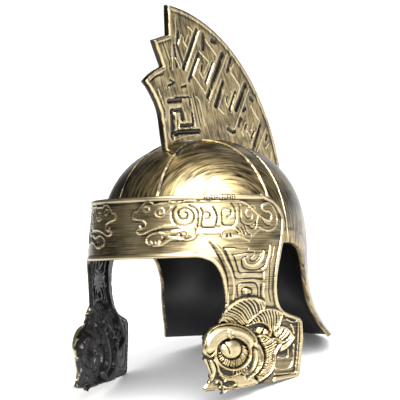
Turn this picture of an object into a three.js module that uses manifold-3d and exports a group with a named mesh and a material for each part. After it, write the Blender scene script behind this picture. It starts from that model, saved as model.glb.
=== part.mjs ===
// A gladiator helmet moulded in thin black plastic with an antique gold finish.
// Three mouldings: the bowl with its neck guard, the face guard (brow band and cheek guards),
// and the crest fin.
// In the helmet frame X points to the wearer's left, Y to the rear and Z up, with z = 0 at the
// lower edge of the brow band. At the end everything leans back as the helmet rests by itself,
// on its cheek guards and the neck guard's rim.

import * as THREE from 'three';
import { mergeVertices } from 'three/addons/utils/BufferGeometryUtils.js';
import Module from 'manifold-3d';

const wasm = await Module();
wasm.setup();

// Driving dimensions, millimetres

const GAP = 0.3;
const BOWL_WALL = 2.6;
const FACE_WALL = 2.6;

const BOWL = {
  halfWidth: 98.3,
  halfLength: 118.3,
  centreY: 7.1,
  springZ: 6.1,
  topZ: 119,
  roundness: 2.38,
  frontEdgeZ: 6,
};

const NECK = {
  rimZ: -82.5,
  flareStartZ: 7,
  flarePower: 3.4,
  sideFlare: 20,
  rearFlare: 28,
  cornerY: 72,
};

const STRAP = { height: 1, halfWidth: 23, crossFrontY: -9.5, crossRearY: 12 };
const FRONT_FOOT = { width: 3.2, height: 1.4, from: [4.6, -58.4], to: [20, -65] };
const ARCH_BORDER = { height: 1.2, width: 15 };

const BAND = {
  height: 59.9,
  bottomHalfLength: 127.4,
  bottomHalfWidth: 106,
  topHalfLength: 120.7,
  topHalfWidth: 99.3,
  lip: 4.6,
  lipHeight: 1.2,
  topLipEndY: -22,
  ledge: 2.4,
  ledgeEndY: -30,
};

// The cheek guards turn from the round of the band into a nearly flat plate.
const CHEEK = { bendStartZ: -5, bendEndZ: -80, flatX: 83.3, flatAtY: -81.4, flatSlope: 0.29 };

const CREST = { thickness: 6, lip: 4.6, lipHeight: 0.8, arcY: -58.8, arcZ: 45.4, arcRadius: 209.1 };

// The helmet rests on the foot of each cheek guard's rear lobe and on the back of the neck guard's rim.
// Each of the three has a small flat, this deep, where it meets the floor.
const LOBE_FOOT = { y: 5, z: -120.5 };
const FOOT_FLAT = 0.6;

const RELIEF = { band: 1.1, crest: 0.9, head: 4 };

// A distance past every side of the helmet, for solids that only cut or keep.
const FAR = 200;

// Corners that stand out by less than this from the faces round them are left out of a finished solid.
const FINEST = 0.1;

const GOLD = 0x9a8450;

// Surfaces

const sin = Math.sin;
const cos = Math.cos;
const rad = THREE.MathUtils.degToRad;
const mix = THREE.MathUtils.lerp;

// A point of the bowl at plan angle t (0 at the front), h outside its outer face.
function bowlPoint(t, rise, h) {
  const top = BOWL.topZ + h;
  let z;
  let scale = 1;
  let side = BOWL.halfWidth + h;
  let rear = BOWL.halfLength + h;
  if (rise >= 0) {
    const s = sin((rise * Math.PI) / 2);
    z = BOWL.springZ + (top - BOWL.springZ) * s ** (2 / BOWL.roundness);
    scale = Math.max(1 - s ** 2, 0) ** (1 / BOWL.roundness);
  } else {
    z = BOWL.springZ + rise * (BOWL.springZ - NECK.rimZ);
    const k = Math.max((NECK.flareStartZ - z) / (NECK.flareStartZ - NECK.rimZ), 0) ** NECK.flarePower;
    side += NECK.sideFlare * k;
    rear += NECK.rearFlare * k;
  }
  return new THREE.Vector3(side * scale * sin(t), BOWL.centreY - rear * scale * cos(t), z);
}

// A point of the bowl straight above (x, y), h outside its outer face.
function bowlChart(x, y, h) {
  const scale = Math.hypot(x / (BOWL.halfWidth + h), (y - BOWL.centreY) / (BOWL.halfLength + h));
  const rise = (1 - scale ** BOWL.roundness) ** (1 / BOWL.roundness);
  return new THREE.Vector3(x, y, mix(BOWL.springZ, BOWL.topZ + h, rise));
}

const BOWL_COLUMNS = 36;
const BOWL_RISES = [1, 0.92, 0.82, 0.69, 0.53, 0.33, 0, -0.45, -0.7, -0.87, -1];

// The outer face of the face guard at plan angle t and height z, and the same point h outside it.
function faceSurface(t, z) {
  const halfWidth = mix(BAND.bottomHalfWidth, BAND.topHalfWidth, Math.max(z / BAND.height, 0));
  const y = -bandHalfLength(z) * cos(t);
  const bend = THREE.MathUtils.smoothstep(-z, -CHEEK.bendStartZ, -CHEEK.bendEndZ);
  const flat = CHEEK.flatX + (y - CHEEK.flatAtY) * CHEEK.flatSlope;
  const x = mix(halfWidth * Math.abs(sin(t)), flat, bend) * Math.sign(t);
  return new THREE.Vector3(x, y, z);
}

function bandHalfLength(z) {
  return mix(BAND.bottomHalfLength, BAND.topHalfLength, Math.max(z / BAND.height, 0));
}

function facePoint(t, z, h) {
  const e = 0.01;
  const p = faceSurface(t, z);
  const across = faceSurface(t + e, z).sub(faceSurface(t - e, z));
  const up = faceSurface(t, z + 0.5).sub(faceSurface(t, z - 0.5));
  if (Math.abs(t) < 0.02) {
    across.set(1, 0, 0);
  }
  const outward = across.cross(up).normalize();
  return p.addScaledVector(outward, h);
}

// Charts place flat drawings on the surfaces. On the band, u is the distance round it from the front
// centre.

const ARC_STEPS = 400;
const bandArc = [0];
for (let i = 1; i <= ARC_STEPS; i++) {
  const a = faceSurface(((i - 1) / ARC_STEPS) * Math.PI + 1e-6, BAND.height / 2);
  const b = faceSurface((i / ARC_STEPS) * Math.PI - 1e-6, BAND.height / 2);
  bandArc.push(bandArc[i - 1] + a.distanceTo(b));
}

function bandChart(u, z, h) {
  const i = Math.max(bandArc.findIndex((s) => s > Math.abs(u)), 1);
  const f = (Math.abs(u) - bandArc[i - 1]) / (bandArc[i] - bandArc[i - 1]);
  const t = ((i - 1 + f) / ARC_STEPS) * Math.PI;
  return facePoint(Math.sign(u || 1) * Math.max(t, 1e-4), z, h);
}

// On the left cheek guard and on the crest's left face the chart is the side view, (y, z).
function cheekChart(y, z, h) {
  return facePoint(Math.acos(-y / bandHalfLength(z)), z, h);
}

function crestChart(y, z, h) {
  return new THREE.Vector3(CREST.thickness / 2 + h, y, z);
}

// Solids

function solidOf(geometry) {
  geometry.deleteAttribute('normal');
  geometry.deleteAttribute('uv');
  const merged = mergeVertices(geometry, 1e-4);
  return new wasm.Manifold(
    new wasm.Mesh({
      numProp: 3,
      vertProperties: new Float32Array(merged.attributes.position.array),
      triVerts: new Uint32Array(merged.index.array),
    }),
  );
}

function solidFromFaces(points, faces) {
  const geometry = new THREE.BufferGeometry().setFromPoints(points);
  geometry.setIndex(faces.flat());
  return solidOf(geometry);
}

function geometryOf(solid) {
  const mesh = solid.getMesh();
  const geometry = new THREE.BufferGeometry();
  const places = new Float32Array(mesh.numVert * 3);
  for (let i = 0; i < mesh.numVert; i++) {
    places.set(mesh.vertProperties.subarray(i * mesh.numProp, i * mesh.numProp + 3), i * 3);
  }
  geometry.setAttribute('position', new THREE.BufferAttribute(places, 3));
  geometry.setIndex(new THREE.BufferAttribute(mesh.triVerts, 1));
  geometry.computeVertexNormals();
  return geometry;
}

function join(solids) {
  return solids.reduce((sum, solid) => sum.add(solid));
}

function box(xs, ys, zs) {
  const geometry = new THREE.BoxGeometry(xs[1] - xs[0], ys[1] - ys[0], zs[1] - zs[0]);
  geometry.translate((xs[0] + xs[1]) / 2, (ys[0] + ys[1]) / 2, (zs[0] + zs[1]) / 2);
  return solidOf(geometry);
}

// The same solid on the wearer's right side.
function mirrored(solid) {
  const geometry = geometryOf(solid).scale(-1, 1, 1).toNonIndexed();
  const places = geometry.attributes.position;
  for (let i = 0; i < places.count; i += 3) {
    const first = new THREE.Vector3().fromBufferAttribute(places, i);
    const second = new THREE.Vector3().fromBufferAttribute(places, i + 1);
    places.setXYZ(i, ...second.toArray());
    places.setXYZ(i + 1, ...first.toArray());
  }
  return solidOf(geometry);
}

// A filled bowl, h outside the outer face, closed flat at the neck guard's rim.
function filledBowl(h) {
  const points = [bowlPoint(0, 1, h)];
  const faces = [];
  const rises = BOWL_RISES.slice(1);
  const at = (row, column) => 1 + row * BOWL_COLUMNS + (column % BOWL_COLUMNS);
  rises.forEach((rise, row) => {
    for (let c = 0; c < BOWL_COLUMNS; c++) {
      points.push(bowlPoint((2 * Math.PI * c) / BOWL_COLUMNS, rise, h));
      if (row === 0) {
        faces.push([0, at(0, c), at(0, c + 1)]);
      } else {
        faces.push([at(row - 1, c), at(row, c), at(row, c + 1)]);
        faces.push([at(row - 1, c), at(row, c + 1), at(row - 1, c + 1)]);
      }
    }
  });
  const foot = points.push(new THREE.Vector3(0, BOWL.centreY, NECK.rimZ)) - 1;
  for (let c = 0; c < BOWL_COLUMNS; c++) {
    faces.push([foot, at(rises.length - 1, c + 1), at(rises.length - 1, c)]);
  }
  return solidFromFaces(points, faces);
}

// A wall between two offsets of a surface, over the cells of a grid that keep() chooses.
function wall(columns, rows, keep, place, inside, outside) {
  const points = [];
  const faces = [];
  const count = columns.length * rows.length;
  for (const h of [outside, inside]) {
    for (const row of rows) {
      for (const column of columns) {
        points.push(place(column, row, h));
      }
    }
  }
  const at = (r, c) => r * columns.length + c;
  const inGrid = (r, c) => r >= 0 && c >= 0 && r < rows.length - 1 && c < columns.length - 1;
  const kept = (r, c) => inGrid(r, c) && keep(columns[c], columns[c + 1], rows[r]);
  const edge = (a, b) => {
    faces.push([a, b, b + count]);
    faces.push([a, b + count, a + count]);
  };
  for (let r = 0; r < rows.length - 1; r++) {
    for (let c = 0; c < columns.length - 1; c++) {
      if (!kept(r, c)) {
        continue;
      }
      const [a, b, d, e] = [at(r, c), at(r + 1, c), at(r + 1, c + 1), at(r, c + 1)];
      faces.push([a, b, d], [a, d, e]);
      faces.push([a + count, d + count, b + count], [a + count, e + count, d + count]);
      if (!kept(r, c - 1)) {
        edge(b, a);
      }
      if (!kept(r, c + 1)) {
        edge(e, d);
      }
      if (!kept(r - 1, c)) {
        edge(a, e);
      }
      if (!kept(r + 1, c)) {
        edge(d, b);
      }
    }
  }
  return solidFromFaces(points, faces);
}

// A prism across the helmet, from a closed outline in the side view.
function sidePrism(outline, halfWidth) {
  const shape = new THREE.Shape(outline);
  const geometry = new THREE.ExtrudeGeometry(shape, { depth: 2 * halfWidth, bevelEnabled: false });
  geometry.translate(0, 0, -halfWidth);
  // The drawing's first axis becomes Y, its second Z, and the depth X.
  geometry.applyMatrix4(new THREE.Matrix4().set(0, 0, 1, 0, 1, 0, 0, 0, 0, 1, 0, 0, 0, 0, 0, 1));
  return solidOf(geometry);
}

// The points of an outline moved inward by a distance, each along the middle of its corner.
function insetOutline(outline, distance) {
  const turn = THREE.ShapeUtils.isClockWise(outline) ? -1 : 1;
  return outline.map((point, i) => {
    const before = outline[(i + outline.length - 1) % outline.length];
    const after = outline[(i + 1) % outline.length];
    const a = point.clone().sub(before).normalize();
    const b = after.clone().sub(point).normalize();
    const middle = new THREE.Vector2(-(a.y + b.y), a.x + b.x).normalize();
    const reach = Math.min(1 / Math.max(middle.dot(new THREE.Vector2(-a.y, a.x)), 0.2), 1.8);
    return point.clone().addScaledVector(middle, turn * distance * reach);
  });
}

// Relief

// How deep raised forms reach into the wall under them.
const BURY = 1.1;

// Sections across a ridge: the side as a share of its half width, and whether the corner is raised or
// buried.
const SHARP = [[1, false], [0, true], [-1, false]];
const FLAT = [[1, false], [0.6, true], [-0.6, true], [-1, false]];

// A raised ridge along a drawn line, placed through a chart.
function ridge(path, width, height, chart, section = SHARP) {
  const points = [];
  const faces = [];
  const n = section.length;
  path.forEach((point, i) => {
    const a = point.clone().sub(path[Math.max(i - 1, 0)]).normalize();
    const b = path[Math.min(i + 1, path.length - 1)].clone().sub(point).normalize();
    const along = a.add(b).normalize();
    const reach = 1 / Math.max(along.dot(b.lengthSq() > 0 ? b : along), 0.6);
    const across = new THREE.Vector2(-along.y, along.x);
    for (const [side, raised] of section) {
      const p = point.clone().addScaledVector(across, (side * reach * width) / 2);
      points.push(chart(p.x, p.y, raised ? height : -BURY));
    }
    if (i > 0) {
      const s = (i - 1) * n;
      for (let k = 0; k < n; k++) {
        const next = (k + 1) % n;
        faces.push([s + k, s + n + next, s + n + k], [s + k, s + next, s + n + next]);
      }
    }
  });
  const last = (path.length - 1) * n;
  for (let k = 1; k < n - 1; k++) {
    faces.push([0, k + 1, k], [last, last + k, last + k + 1]);
  }
  return outwardSolid(points, faces);
}

// A solid from faces that may all be turned inward.
function outwardSolid(points, faces) {
  const solid = solidFromFaces(points, faces);
  return solid.volume() < 0 ? solidFromFaces(points, faces.map(([i, j, k]) => [i, k, j])) : solid;
}

function line(...pairs) {
  return pairs.map(([u, v]) => new THREE.Vector2(u, v));
}

function smooth(count, ...pairs) {
  return new THREE.SplineCurve(line(...pairs)).getPoints(count);
}

// A spiral that winds inward from a start angle in degrees, through a number of turns.
function spiral({ u, v, radius, start, turns, core = 0.2 }) {
  const steps = Math.max(Math.round(Math.abs(turns) * 5), 3);
  return Array.from({ length: steps + 1 }, (_, i) => {
    const angle = rad(start) + (2 * Math.PI * turns * i) / steps;
    const r = radius * mix(1, core, i / steps);
    return new THREE.Vector2(u + r * cos(angle), v + r * sin(angle));
  });
}

// A raised pad over a closed outline on a chart.
function pad(outline, height, chart) {
  const turned = THREE.ShapeUtils.isClockWise(outline) ? outline.slice().reverse() : outline;
  const triangles = THREE.ShapeUtils.triangulateShape(turned, []);
  const count = turned.length;
  const points = [height, -BURY].flatMap((h) => turned.map((p) => chart(p.x, p.y, h)));
  const faces = triangles.flatMap(([a, b, c]) => [[a, b, c], [a + count, c + count, b + count]]);
  for (let i = 0; i < count; i++) {
    const n = (i + 1) % count;
    faces.push([i, i + count, n + count], [i, n + count, n]);
  }
  return outwardSolid(points, faces);
}

// Bowl with neck guard

// The edge of the bowl in the side view: level in front, then the ear arch and the neck guard's front
// edge.
function bowlOpening() {
  const outline = new THREE.Path();
  outline.moveTo(-FAR, BOWL.frontEdgeZ);
  outline.lineTo(-8, BOWL.frontEdgeZ);
  outline.splineThru(line([-2, 9.5], [6, 12.4], [15, 12.6], [26, 10.6], [36, 6.6]));
  outline.splineThru(line([43, -1.5], [48, -14], [50.8, -28], [53, -44], [57.5, -58], [64, -70]));
  outline.lineTo(NECK.cornerY, NECK.rimZ);
  return outline.getPoints(4);
}

function makeBowl() {
  const edge = bowlOpening();
  const below = line([NECK.cornerY, -FAR], [-FAR, -FAR]);
  const opening = sidePrism([...edge, ...below], FAR);
  const straps = filledBowl(STRAP.height).intersect(strapRoom(0, BOWL.frontEdgeZ));
  // The raised border follows the ear arch and the neck guard's front edge, behind the level front edge.
  const archEdge = edge.slice(2);
  const outer = insetOutline([...edge, ...below], -ARCH_BORDER.width).slice(2, edge.length);
  outer[outer.length - 1].set(NECK.cornerY + ARCH_BORDER.width, -FAR);
  const borderOutline = [...archEdge, new THREE.Vector2(NECK.cornerY, -FAR), ...outer.reverse()];
  const border = filledBowl(ARCH_BORDER.height).intersect(sidePrism(borderOutline, FAR));
  const footLine = line(FRONT_FOOT.from, FRONT_FOOT.to);
  const foot = ridge(footLine, FRONT_FOOT.width, FRONT_FOOT.height, onStrap, FLAT);
  const shell = join([filledBowl(0), straps, border]).subtract(filledBowl(-BOWL_WALL));
  return join([shell.subtract(opening), foot, mirrored(foot)]);
}

function onStrap(x, y, h) {
  return bowlChart(x, y, STRAP.height + h);
}

// The room of the strap along the crest and of the strap across the bowl, made wider by a margin.
function strapRoom(margin, floorZ) {
  const near = STRAP.halfWidth + margin;
  return join([
    box([-near, near], [-FAR, FAR], [floorZ, FAR]),
    box([-FAR, FAR], [STRAP.crossFrontY - margin, STRAP.crossRearY + margin], [floorZ, FAR]),
  ]);
}

// Face guard

// The edges of the left cheek guard in the side view: the face opening, the head's outline, and the rear
// edge.
function openingEdge() {
  return smooth(9, [-104, 0], [-94.7, -1], [-86.4, -6], [-81, -16], [-78.3, -30], [-77.2, -46]);
}

function headEdge() {
  const path = new THREE.Path();
  path.moveTo(-82.5, -60);
  path.splineThru(line([-92, -69], [-100.5, -75.6], [-103.5, -87]));
  path.splineThru(line([-102.2, -98], [-98.6, -112], [-101, -120]));
  path.lineTo(-106.3, -126);
  path.lineTo(-99, -126);
  path.quadraticCurveTo(-92, -124, -84.5, -119.6);
  path.lineTo(-81.5, -131);
  path.splineThru(line([-75, -129.3], [-58, -127.5], [-35, -123.8]));
  return path.getPoints(2);
}

function rearEdge() {
  const path = new THREE.Path();
  path.moveTo(-20, -122.6);
  path.lineTo(4, -120.6);
  path.quadraticCurveTo(8.4, -120.2, 9.4, -116);
  path.lineTo(15, -82);
  path.lineTo(15, -66);
  path.quadraticCurveTo(14.6, -60.6, 4, -59);
  path.splineThru(line([-7, -55], [-14, -48], [-17.5, -36], [-17.6, -22]));
  path.splineThru(line([-13.5, -5], [-4, 16], [1, 31]));
  path.splineThru(line([0.4, 39], [-4.5, 48], [-13, 54.6], [-26, BAND.height]));
  return path.getPoints(1);
}

function faceOutline() {
  const ends = line([-FAR, BAND.height], [-FAR, 0]);
  return [...openingEdge(), ...headEdge(), ...rearEdge(), ...ends];
}

// A path moved sideways: to its left for a positive distance.
function beside(path, distance) {
  return path.map((point, i) => {
    const before = path[Math.max(i - 1, 0)];
    const after = path[Math.min(i + 1, path.length - 1)];
    const along = after.clone().sub(before).normalize();
    return new THREE.Vector2(point.x - along.y * distance, point.y + along.x * distance);
  });
}

// Plan angles in degrees: how far round the band goes, and where the cheek guards begin beside the face
// opening.
const FACE_REACH = 105.4;
const FACE_OPEN = 26;
const FACE_COLUMNS = 28;
const LEDGE_COLUMNS = 32;
const FACE_HEIGHTS = [BAND.height, 0, -20, -40, -60, CHEEK.bendEndZ, -135];
const FACE_ANGLES = Array.from({ length: FACE_COLUMNS + 1 }, (_, i) => {
  return rad(mix(-FACE_REACH, FACE_REACH, i / FACE_COLUMNS));
});

// The face guard's wall between two offsets, before its outline is cut.
function faceWall(inside, outside) {
  const keep = (a, b, z) => z > 0 || Math.min(Math.abs(a), Math.abs(b)) > rad(FACE_OPEN);
  return wall(FACE_ANGLES, FACE_HEIGHTS, keep, facePoint, inside, outside);
}

function bandWall(topZ, bottomZ, inside, outside) {
  return wall(FACE_ANGLES, [topZ, bottomZ], () => true, facePoint, inside, outside);
}

// A beast in profile on the wearer's left of the band, facing the front centre.
function beast() {
  const body = [
    line([13, 37], [11.5, 44], [20, 50], [34, 49], [46, 49.5], [58, 52], [92, 52.5], [128, 51.5], [140, 46]),
    line([13, 37], [24, 38], [27, 31], [19, 24], [26, 21.5], [38, 26], [54, 29]),
    line([54, 29], [42, 19], [30, 19], [26, 13], [36, 10.5], [48, 15], [56, 22], [75, 20.5], [97, 22.5]),
    line([97, 22.5], [101, 16], [116, 14.5], [128, 19], [138, 24]),
    smooth(6, [140, 46], [150, 34], [158, 32], [164, 40], [160, 50]),
  ];
  const spirals = [
    { u: 64, v: 38.5, radius: 11, start: 120, turns: -1.5 },
    { u: 88, v: 39, radius: 7.5, start: 250, turns: -1.2 },
    { u: 108, v: 39, radius: 8.5, start: 250, turns: -1.2 },
    { u: 129, v: 37, radius: 10, start: 150, turns: 1.4 },
  ];
  return [...body, ...spirals.map(spiral)].map((path) => ridge(path, 2.6, RELIEF.band, bandChart));
}

// Key ornament on the neck of the left cheek guard and the nested frames of its rear lobe.
function cheekOrnament() {
  const lines = [
    line([-68, -2], [-66, -16], [-42, -17]),
    line([-68, -22], [-40, -23]),
    line([-65, -43], [-66, -27.5], [-42, -28], [-41, -43]),
    line([-17, -88], [2, -90], [2, -112], [-19, -111]),
    line([-12, -95], [-4, -96], [-4, -106], [-14, -105.5]),
    line([-34, 0], [-33, -20], [-33, -43]),
    spiral({ u: -53, v: -4, radius: 9.5, start: 60, turns: -1.6 }),
    spiral({ u: -54, v: -36, radius: 5.5, start: 90, turns: -1.3 }),
  ];
  return lines.map((path) => ridge(path, 2.4, RELIEF.band, cheekChart));
}

// The bird-beast's head in high relief: a raised mask, an eye in a ring, a brow, beaks and fans of feathers.
function cheekHead() {
  const mask = [
    ...line([-102, -97], [-104, -86], [-97, -74], [-84, -66], [-66, -63.5], [-50, -70]),
    ...line([-43, -80], [-40, -98], [-48, -117], [-66, -124]),
    ...line([-79.5, -127], [-82.5, -116], [-97, -122], [-103.5, -123.5], [-97.5, -112]),
  ];
  const onMask = (y, z, h) => cheekChart(y, z, h + RELIEF.head);
  const ring = Array.from({ length: 12 }, (_, i) => {
    const angle = rad(i * 32.5);
    return new THREE.Vector2(-72.5 + 19 * cos(angle), -92 + 16 * sin(angle));
  });
  const brow = smooth(5, [-101, -92], [-99, -80], [-86, -71.5], [-70, -69], [-54, -75], [-47, -84]);
  const eye = new THREE.SphereGeometry(1, 9, 6);
  eye.scale(7, 9.8, 8.4).translate(...onMask(-74.5, -89.5, -1).toArray());
  const solids = [
    pad(mask, RELIEF.head, cheekChart),
    solidOf(eye),
    ridge(ring, 3.4, 2.2, onMask),
    ridge(brow, 7, 2.4, onMask),
    ridge(line([-46, -90], [-42.5, -100], [-48, -112]), 4, 1.6, onMask),
    ridge(line([-100, -95], [-97, -106], [-98, -116], [-102.5, -122.5]), 4, 1.8, onMask),
    ridge(line([-82, -122], [-78, -116], [-64, -117], [-50, -119]), 4, 1.8, onMask),
  ];
  return [...solids, ...FANS.flatMap(feathers)];
}

// Fans of feathers: an arc about a centre between two radii, with a number of ridges across it.
const FANS = [
  { y: -46, z: -78, inner: 17, outer: 39, from: 92, to: 162, ridges: 4, height: 2.6 },
  { y: -24, z: -84, inner: 12, outer: 31, from: 66, to: 146, ridges: 3, height: 2 },
  { y: -30, z: -94, inner: 8, outer: 25, from: 10, to: 70, ridges: 2, height: 2.8 },
  { y: -52, z: -96, inner: 14, outer: 29, from: -62, to: 34, ridges: 4, height: 3.2 },
];

function feathers({ y, z, inner, outer, from, to, ridges, height }) {
  const at = (angle, radius) => {
    return new THREE.Vector2(y + radius * cos(rad(angle)), z + radius * sin(rad(angle)));
  };
  const angles = Array.from({ length: 5 }, (_, i) => mix(from, to, i / 4));
  const outline = [...angles.map((a) => at(a, outer)), ...angles.reverse().map((a) => at(a, inner))];
  const raised = (u, v, h) => cheekChart(u, v, h + height);
  const lines = Array.from({ length: ridges }, (_, i) => {
    const angle = mix(from, to, (i + 0.5) / ridges);
    return ridge([at(angle, inner + 1), at(angle, outer - 1)], 2, 0.9, raised);
  });
  return [pad(outline, height, cheekChart), ...lines];
}

// The raised lips along all edges, as a second, higher wall over a strip beside each edge.
function lips() {
  const strip = (path) => sidePrism([...path, ...beside(path, BAND.lip).reverse()], FAR);
  const top = bandWall(BAND.height, BAND.height - BAND.lip, -BURY, BAND.lipHeight);
  const bottom = bandWall(BAND.lip, 0, -BURY, BAND.lipHeight);
  const sides = faceWall(-BURY, BAND.lipHeight);
  return [
    top.intersect(box([-FAR, FAR], [-FAR, BAND.topLipEndY], [0, FAR])),
    bottom.intersect(box([-FAR, FAR], [-FAR, openingEdge()[0].x + BAND.lip / 2], [-FAR, FAR])),
    sides.intersect(strip(openingEdge()).add(strip(rearEdge()))),
  ];
}

function makeFaceGuard() {
  const plate = faceWall(-FACE_WALL, 0).intersect(sidePrism(faceOutline(), FAR));
  const left = join([...beast(), ...cheekOrnament(), ...cheekHead()]);
  const front = box([-FAR, FAR], [-FAR, BAND.ledgeEndY], [0, FAR]);
  const ledge = bandPlug().intersect(front).subtract(bowlClearance());
  return join([plate, ...lips(), left, mirrored(left), ledge]);
}

// The whole inside of the band's top as an elliptical disc, from which the ledge to the bowl is cut.
function bandPlug() {
  const disc = new THREE.CylinderGeometry(1, 1, BAND.ledge, LEDGE_COLUMNS);
  disc.rotateX(Math.PI / 2);
  disc.scale(BAND.topHalfWidth - BURY, BAND.topHalfLength - BURY, 1);
  disc.translate(0, 0, BAND.height - BAND.ledge / 2);
  return solidOf(disc);
}

// The room that the bowl and its straps take, with the gap to their neighbours.
function bowlClearance() {
  return filledBowl(GAP).add(filledBowl(STRAP.height + GAP).intersect(strapRoom(GAP, 0)));
}

// Crest fin

// The fin's stepped front edge and its round back, in the side view.
function crestFront() {
  const path = new THREE.Path();
  path.moveTo(-57, 108);
  path.splineThru(line([-59.4, 120], [-63.4, 143], [-69, 155], [-79, 167.5], [-87.9, 175]));
  path.splineThru(line([-80, 181], [-70.1, 186.6], [-57.8, 191.8]));
  path.lineTo(-71.5, 217.2);
  path.lineTo(-46.7, 224.3);
  path.lineTo(-46.9, 254.8);
  return path.getPoints(2);
}

function crestBack() {
  const path = new THREE.Path();
  path.absarc(CREST.arcY, CREST.arcZ, CREST.arcRadius, rad(85.5), rad(14.6), true);
  path.bezierCurveTo(147, 78, 146, 62, 134, 46);
  return path.getPoints(9);
}

// Ridges of the crest's key pattern. Each row of bars repeats down the back, and each has a hook beside it.
function crestPattern() {
  const lines = [
    line([-38, 246], [-33, 231]),
    line([6, 234], [-20, 190]),
    line([52, 213], [18, 160]),
    line([90, 179], [62, 135]),
    line([-17, 239], [-6, 231], [-18, 209]),
    line([15, 225], [34, 210], [16, 179]),
    line([59, 199], [74, 180], [57, 152]),
    line([-26, 227], [-31, 216]),
    line([3, 204], [-7, 184], [13, 169]),
    line([44, 173], [35, 156]),
    line([5, 212], [18, 203], [11, 191]),
    line([-14, 227], [-19, 218]),
    line([-26, 243], [-31, 234]),
    line([45, 169], [51, 157], [57, 166]),
    line([82, 142], [76, 128]),
    line([105, 138], [103, 129], [93, 123]),
    line([118, 130], [102, 110]),
    line([131, 126], [123, 113]),
    line([1, 161], [11, 127], [-33, 122], [-51, 117]),
    line([-14, 162], [-7, 134], [-34, 131], [-35, 142]),
    line([-52, 161], [-14, 162]),
    line([-41, 212], [-35, 200]),
    spiral({ u: 90, v: 137, radius: 8, start: 30, turns: -1 }),
  ];
  return lines.map((path) => ridge(path, 2.8, RELIEF.crest, crestChart));
}

function makeCrest() {
  const half = CREST.thickness / 2;
  const outline = [...crestFront(), ...crestBack(), ...line([112, 30], [90, 50], [-56.5, 85])];
  const rims = [crestFront(), crestBack()].map((path) => {
    return sidePrism([...path, ...beside(path, -CREST.lip).reverse()], half + CREST.lipHeight);
  });
  const left = join(crestPattern());
  return join([sidePrism(outline, half), ...rims, left, mirrored(left)]).subtract(bowlClearance());
}

// Assembly

const rearY = BOWL.centreY + BOWL.halfLength + NECK.rearFlare;
const lean = Math.atan((NECK.rimZ - LOBE_FOOT.z) / (rearY - LOBE_FOOT.y));
const lift = -FOOT_FLAT - (NECK.rimZ * cos(lean) - rearY * sin(lean));

// Everything under the floor, in the helmet frame.
function underFloor() {
  const room = new THREE.BoxGeometry(600, 600, 100);
  room.translate(0, 0, -50 - lift);
  room.rotateX(lean);
  return solidOf(room);
}

function piece(name, solid, roughness, metalness) {
  const material = new THREE.MeshStandardMaterial({ color: GOLD, roughness, metalness, name });
  const finished = solid.subtract(underFloor()).simplify(FINEST);
  const mesh = new THREE.Mesh(geometryOf(finished), material);
  mesh.name = name;
  return mesh;
}

const helmet = new THREE.Group();
helmet.add(piece('skull_dome', makeBowl(), 0.32, 0.75));
helmet.add(piece('face_guard', makeFaceGuard(), 0.42, 0.75));
helmet.add(piece('crest_fin', makeCrest(), 0.48, 0.7));
helmet.rotation.x = -lean;

const resting = new THREE.Group();
resting.add(helmet);
const extent = new THREE.Box3().setFromObject(resting, true);
helmet.position.set(0, -(extent.min.y + extent.max.y) / 2, lift);

export default resting;
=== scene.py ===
from math import cos, pi, radians, sin

import bpy
import numpy as np
from mathutils import Matrix, Vector


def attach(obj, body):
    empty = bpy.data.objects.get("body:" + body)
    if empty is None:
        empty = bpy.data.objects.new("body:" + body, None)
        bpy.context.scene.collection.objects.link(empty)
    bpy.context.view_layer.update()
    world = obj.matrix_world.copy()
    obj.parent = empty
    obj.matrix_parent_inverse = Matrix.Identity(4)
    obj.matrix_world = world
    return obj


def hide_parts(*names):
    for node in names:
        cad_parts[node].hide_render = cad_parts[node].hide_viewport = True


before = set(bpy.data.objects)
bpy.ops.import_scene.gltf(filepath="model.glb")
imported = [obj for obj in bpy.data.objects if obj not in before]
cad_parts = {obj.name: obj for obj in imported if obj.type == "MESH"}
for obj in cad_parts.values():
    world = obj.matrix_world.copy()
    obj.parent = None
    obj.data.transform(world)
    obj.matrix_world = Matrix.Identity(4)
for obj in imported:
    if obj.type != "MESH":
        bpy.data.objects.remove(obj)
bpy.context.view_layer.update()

# Camera: the helmet is looked at from its front left, nearly level with the brow band, as the photograph
# shows it. Every piece is drawn upright, in millimetres, with z = 0 at the band's lower edge; on_floor then
# leans it back onto its cheek guards and neck rim, as it rests by itself, and the camera leans with it.
LEAN = 14.3628
CAMERA_AWAY = 1.8
on_floor = Matrix.Translation((0, -0.01459, 0.117374)) @ Matrix.Rotation(-radians(LEAN), 4, "X")
looked_at = Vector((0, 0.00136, 0.05919))
azimuth, elevation, roll = radians(36.6), radians(-2.18), radians(-1.78)
back = Vector((sin(azimuth) * cos(elevation), -cos(azimuth) * cos(elevation), sin(elevation)))
right = Vector((0, 0, 1)).cross(back).normalized()
up = back.cross(right)
turned_right = right * cos(roll) + up * sin(roll)
turned_up = up * cos(roll) - right * sin(roll)
bpy.ops.object.select_all(action="DESELECT")
bpy.ops.object.camera_add()
camera = bpy.context.object
camera.data.lens = 158.59
camera.data.sensor_width = 36
camera.matrix_world = (
    on_floor
    @ Matrix.Translation(looked_at + back * CAMERA_AWAY)
    @ Matrix((turned_right, turned_up, back)).transposed().to_4x4()
)
bpy.context.scene.camera = camera

# Floor and light: a pale matt floor, a large soft box high on the right of the picture that gives the broad
# highlight on bowl and band, and a very weak one in front on the left, which lifts the brow band's left half.


def new_paint(name):
    """A material's own tree and shader."""
    paint = bpy.data.materials.new(name)
    paint.use_nodes = True
    return paint, paint.node_tree, paint.node_tree.nodes["Principled BSDF"]


def wire(tree, sockets, values):
    """Links each socket to an output, or sets it to a value."""
    for socket, value in zip(sockets, values):
        if isinstance(value, bpy.types.NodeSocket):
            tree.links.new(value, socket)
        else:
            socket.default_value = value


def plug(tree, made, **inputs):
    """Wires inputs by name, with _ for a space."""
    wire(tree, [made.inputs[key.replace("_", " ")] for key in inputs], inputs.values())
    return made


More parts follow.
